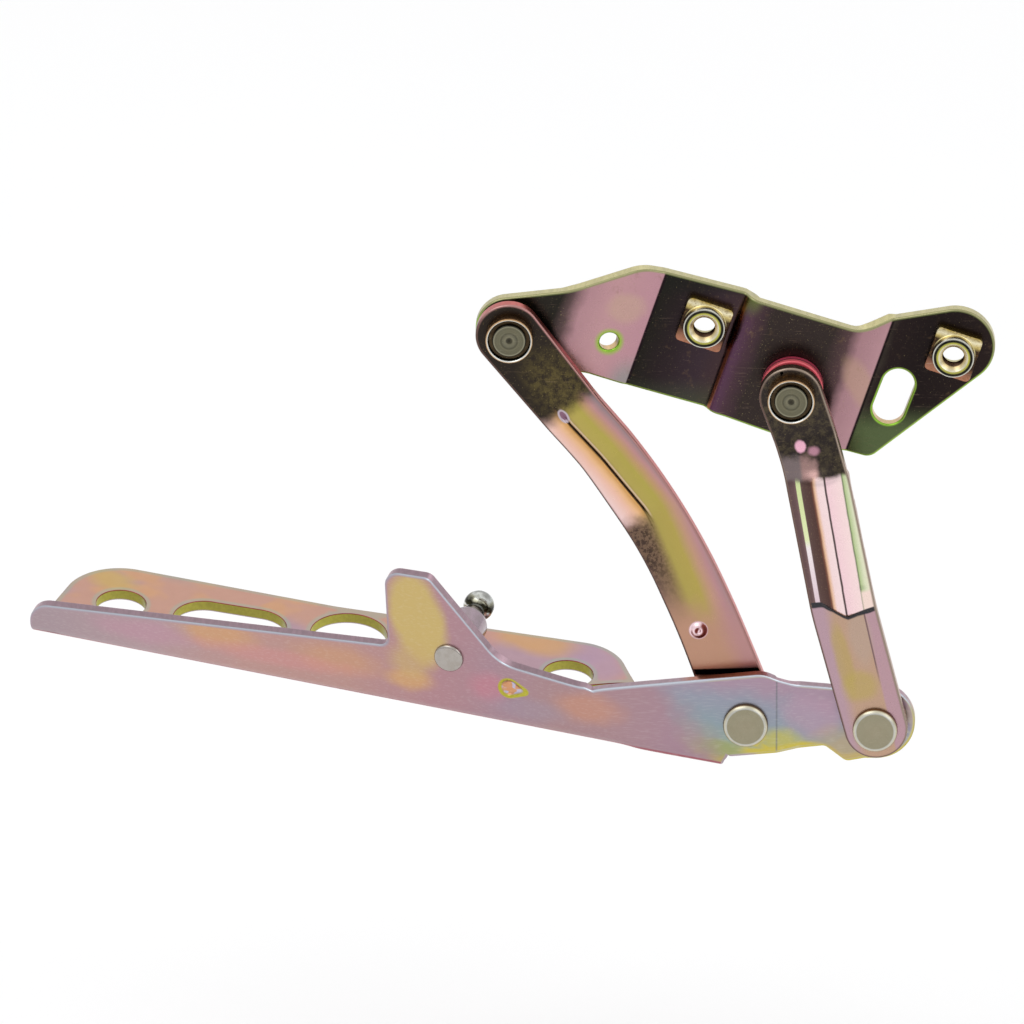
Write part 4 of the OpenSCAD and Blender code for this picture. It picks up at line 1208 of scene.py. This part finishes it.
back = k.mix(k.mul(halo, 0.5), back, srgb(150, 166, 150))
wall = k.mix(k.mask(s, -9.5, -11), srgb(190, 158, 170), srgb(176, 170, 76))
wall = k.mix(k.mul(k.mask(al, 30, 36), k.mask(al, 62, 56)), wall, srgb(204, 128, 100))
col = edge_look(k, web, wall, srgb(196, 202, 212), back, k.mix(k.mask(s, -9.5, -11), srgb(190, 166, 60), srgb(150, 142, 66)), k.mix(k.mask(a, 44, 50), srgb(170, 150, 160), srgb(196, 180, 70)))
lever.data.materials.append(zinc_finish(k, col, sc, 0.2, 0.38, 0.22))


def turned(name, stops, side, rough=(0.22, 0.38), bump=0.15, lathe_rings=0.5, front=None, metallic=1.0):
    """Turned metal: colours along the radius on the front, one colour on the sides."""
    k = Look(name, metallic)
    r, b = k.attr("radius"), k.attr("back")
    n = k.noise(0.5, 3, 0.6)
    face = k.ramp(r, stops)
    face = k.mix(k.mul(k.mask(n, 0.3, 0.7), 0.25), face, k.mix(0.5, face, srgb(120, 110, 80)))
    rings = k.noise(1.0, 2, 0.5)
    comb = k.nt.nodes.new("ShaderNodeCombineXYZ")
    k.put(comb.inputs[0], k.mul(r, 4.0))
    wave = k.nt.nodes.new("ShaderNodeTexNoise")
    k.nt.links.new(comb.outputs[0], wave.inputs["Vector"])
    wave.inputs["Scale"].default_value = 1.6
    face = k.mix(k.mul(k.mask(wave.outputs["Fac"], 0.45, 0.62), 0.22 * lathe_rings), face, srgb(60, 56, 46))
    col = k.mix(k.mask(b, 1.3, 2.4), face, side(k) if callable(side) else side)
    if front:
        col = front(k, col)
    col, sc = wear_and_glints(k, col, srgb(214, 206, 186), srgb(214, 206, 180), 0.2)
    hgt = k.math("MULTIPLY_ADD", wave.outputs["Fac"], 0.5 * lathe_rings, rings)
    rr = k.math("MULTIPLY_ADD", k.noise(0.6, 3, 0.6), rough[1] - rough[0], rough[0])
    return k.done(col, rr, k.bump(hgt, bump, 0.00005))


# pin ends: the dark centre and black outer groove are painted shade, the pale ring at the rounded rim a painted
# highlight
pin_mat = turned("pin_steel", [(0, srgb(40, 38, 34)), (0.9, srgb(70, 68, 58)), (1.3, srgb(126, 122, 102)), (2.2, srgb(104, 102, 86)), (2.6, srgb(80, 78, 66)), (3.0, srgb(110, 107, 88)), (4.6, srgb(104, 101, 84)),
                 (4.95, srgb(150, 146, 124)), (5.2, srgb(60, 60, 54)), (5.5, srgb(16, 18, 18))], srgb(70, 60, 50), lathe_rings=0.9)
# collar: the recess painted near black as shade, the white ring at its rim a painted highlight
collar_mat = turned("collar_zinc", [(5.0, srgb(10, 12, 12)), (6.7, srgb(22, 28, 26)), (6.86, srgb(200, 204, 200)), (7.1, srgb(236, 236, 232)), (7.35, srgb(200, 170, 130)), (7.6, srgb(176, 134, 92))], srgb(170, 128, 84))
# rivet heads: the pale ring on the chamfer is a painted highlight
rivet_mat = turned("rivet_steel", [(0, srgb(154, 146, 124)), (5.9, srgb(150, 144, 122)), (6.2, srgb(196, 196, 190)), (6.9, srgb(206, 200, 176)), (7.25, srgb(130, 100, 66))], srgb(104, 74, 46), lathe_rings=0.15)


def nut_base(k, col):
    """Corners of the square base, painted light and shade: pale above the neck, dark beside it and brown below."""
    r, b, lift = k.attr("radius"), k.attr("back"), k.attr("lift")
    base = k.ramp(eased(k, lift, 1.6, 0.4), [(-8, srgb(176, 120, 96)), (-5.5, srgb(150, 104, 84)), (-3, srgb(56, 42, 36)), (3.5, srgb(60, 46, 34)), (4.8, srgb(196, 176, 110)), (6.2, srgb(236, 226, 190)), (7.8, srgb(176, 150, 70))])
    base = k.mix(k.mul(k.mask(k.noise(0.9, 3, 0.7), 0.5, 0.66), 0.5), base, srgb(120, 90, 50))
    return k.mix(k.mul(k.mask(r, 6.95, 7.15), k.mask(b, 2.6, 3.0)), col, base)


# nut neck: front ring face painted near black as reflection with a white painted highlight on its rim; sides painted
# pale on top and dark below as light and shade
nut_mat = turned("nut_zinc", [(3.4, srgb(186, 160, 110)), (3.9, srgb(214, 196, 150)), (4.7, srgb(226, 220, 196)), (4.95, srgb(196, 190, 90)), (5.3, srgb(170, 168, 80)), (5.6, srgb(20, 22, 24)), (6.2, srgb(12, 14, 18)), (6.45, srgb(206, 206, 196)), (6.7, srgb(226, 222, 206)), (7.0, srgb(60, 46, 36)), (11, srgb(150, 120, 70))],
                 lambda k: k.mix(k.mask(k.attr("lift"), 0, 4), srgb(70, 52, 40), srgb(220, 206, 150)), (0.2, 0.34), front=nut_base)
# dark finish for the bushes; on washer_b and washer_d it is painted shade for the shaded slots they fill between the
# plates
dark_bush_gap_shade_mat = turned("bush_dark_gap_shade", [(0, srgb(60, 52, 44)), (10, srgb(80, 70, 52))], srgb(64, 54, 44), (0.35, 0.5))
washer_mat = turned("washer_zinc", [(5, srgb(176, 150, 96)), (10, srgb(196, 176, 110))], srgb(196, 176, 100))
# the black line across the spacer's side is a painted shadow between its two bands
red_mat = turned("spacer_red", [(5, srgb(150, 30, 50)), (9.0, srgb(206, 60, 80)), (10, srgb(232, 100, 112))],
                 lambda k: k.ramp(k.attr("back"), [(0, srgb(232, 100, 112)), (1.7, srgb(206, 64, 84)), (1.9, srgb(20, 10, 14)), (2.5, srgb(20, 10, 14)), (2.7, srgb(220, 80, 110)), (5, srgb(150, 30, 56))]), metallic=0.3)
for ob, m in ((pin_a, pin_mat), (pin_b, pin_mat), (collar_a, collar_mat), (collar_b, collar_mat), (rivet_c, rivet_mat), (rivet_d, rivet_mat),
              (nut_1, nut_mat), (nut_2, nut_mat), (spacer_b, red_mat), (washer_b, dark_bush_gap_shade_mat), (washer_a, washer_mat), (washer_d, dark_bush_gap_shade_mat),
              (spacer_c, washer_mat), (washer_c, washer_mat)):
    ob.data.materials.append(m)

k = Look("stud_polished")
reach = k.attr("reach")
n = k.noise(0.5, 3, 0.6)
shoulder = k.mix(k.mask(n, 0.35, 0.65), srgb(168, 148, 158), srgb(158, 140, 146))
headc = k.mix(k.mul(k.mask(n, 0.4, 0.6), 0.4), srgb(172, 166, 160), srgb(156, 148, 138))
c = k.mix(k.mask(reach, 0.5, 2.5), headc, shoulder)
# ball: painted reflections chosen by which way the surface faces, dark rings, a white highlight and a light top
reflection_band = k.math("MULTIPLY_ADD", k.math("SUBTRACT", k.noise(0.35, 2, 0.5), 0.5), 0.7, k.light_facing(0.35, 0.94))
ball_reflections = k.ramp(reflection_band, [(-1, srgb(40, 38, 30)), (-0.55, srgb(150, 148, 120)), (-0.25, srgb(96, 92, 60)), (-0.05, srgb(236, 236, 230)), (0.12, srgb(60, 58, 40)), (0.4, srgb(30, 28, 22)), (0.6, srgb(150, 148, 130)), (0.8, srgb(206, 208, 204)), (1, srgb(150, 150, 146))])
c = k.mix(k.mask(reach, 27.6, 28.2), c, ball_reflections)
stud.data.materials.append(zinc_finish(k, c, None, 0.08, 0.16, 0.06))

for name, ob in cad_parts.items():
    if not ob.hide_render:
        ob.data.materials.clear()
        ob.data.materials.append(dark_bush_gap_shade_mat)

# ------------------------------------------------------------ camera, floor, light
scene = bpy.context.scene
AZ, EL = math.radians(2.0), math.radians(21.5)
right = Vector((math.cos(AZ), math.sin(AZ), 0))
up = Vector((-math.sin(AZ) * math.sin(EL), math.cos(AZ) * math.sin(EL), math.cos(EL)))
fwd = Vector((-math.sin(AZ) * math.cos(EL), math.cos(AZ) * math.cos(EL), -math.sin(EL)))
cam_data = bpy.data.cameras.new("camera")
cam = bpy.data.objects.new("camera", cam_data)
scene.collection.objects.link(cam)
scene.camera = cam
DIST = 12.0
cam_data.sensor_width = 36
cam_data.lens = 36 * DIST / 0.3303
cam_data.clip_start, cam_data.clip_end = 0.5, 100
centre = right * -0.06215 + up * -0.06139
cam.location = centre - fwd * DIST
cam.rotation_mode = "QUATERNION"
cam.rotation_quaternion = Matrix((right, up, -fwd)).transposed().to_quaternion()

me = bpy.data.meshes.new("floor")
FLOOR_Z = -0.30
me.from_pydata([(-30, -30, FLOOR_Z), (30, -30, FLOOR_Z), (30, 30, FLOOR_Z), (-30, 30, FLOOR_Z)], [], [(0, 1, 2, 3)])
floor = bpy.data.objects.new("floor", me)
scene.collection.objects.link(floor)
k = Look("floor_white", metallic=0.0, rough=0.9)
n = k.noise(0.004, 2, 0.5)
floor.data.materials.append(k.done(k.mix(n, (0.93, 0.93, 0.93, 1), (0.95, 0.95, 0.95, 1))))

world = bpy.data.worlds.new("studio")
scene.world = world
world.use_nodes = True
nt = world.node_tree
bg = nt.nodes["Background"]
tc = nt.nodes.new("ShaderNodeTexCoord")
sep = nt.nodes.new("ShaderNodeSeparateXYZ")
rampn = nt.nodes.new("ShaderNodeValToRGB")
mp = nt.nodes.new("ShaderNodeMapRange")
nt.links.new(tc.outputs["Generated"], sep.inputs[0])
nt.links.new(sep.outputs["Z"], mp.inputs["Value"])
mp.inputs["From Min"].default_value = -0.2
mp.inputs["From Max"].default_value = 1.0
nt.links.new(mp.outputs[0], rampn.inputs[0])
el = rampn.color_ramp.elements
el[0].position, el[0].color = 0.1, (0.72, 0.73, 0.75, 1)
el[1].position, el[1].color = 0.75, (1.0, 1.0, 1.0, 1)
nt.links.new(rampn.outputs[0], bg.inputs["Color"])
bg.inputs["Strength"].default_value = 1.0


def area(name, loc, size, power, target=(-0.05, 0.0, -0.08)):
    ld = bpy.data.lights.new(name, "AREA")
    ld.shape = "RECTANGLE"
    ld.size, ld.size_y = size
    ld.energy = power
    ob = bpy.data.objects.new(name, ld)
    scene.collection.objects.link(ob)
    ob.location = loc
    ob.rotation_mode = "QUATERNION"
    ob.rotation_quaternion = (Vector(target) - Vector(loc)).to_track_quat("-Z", "Y")
    return ob


area("key", (-1.0, -0.9, 1.9), (1.6, 1.2), 9)
area("fill", (1.6, -1.3, 1.0), (1.0, 1.4), 4)
area("back", (0.3, 1.8, 1.6), (1.8, 0.8), 1.2)
scene.view_settings.view_transform = "Standard"
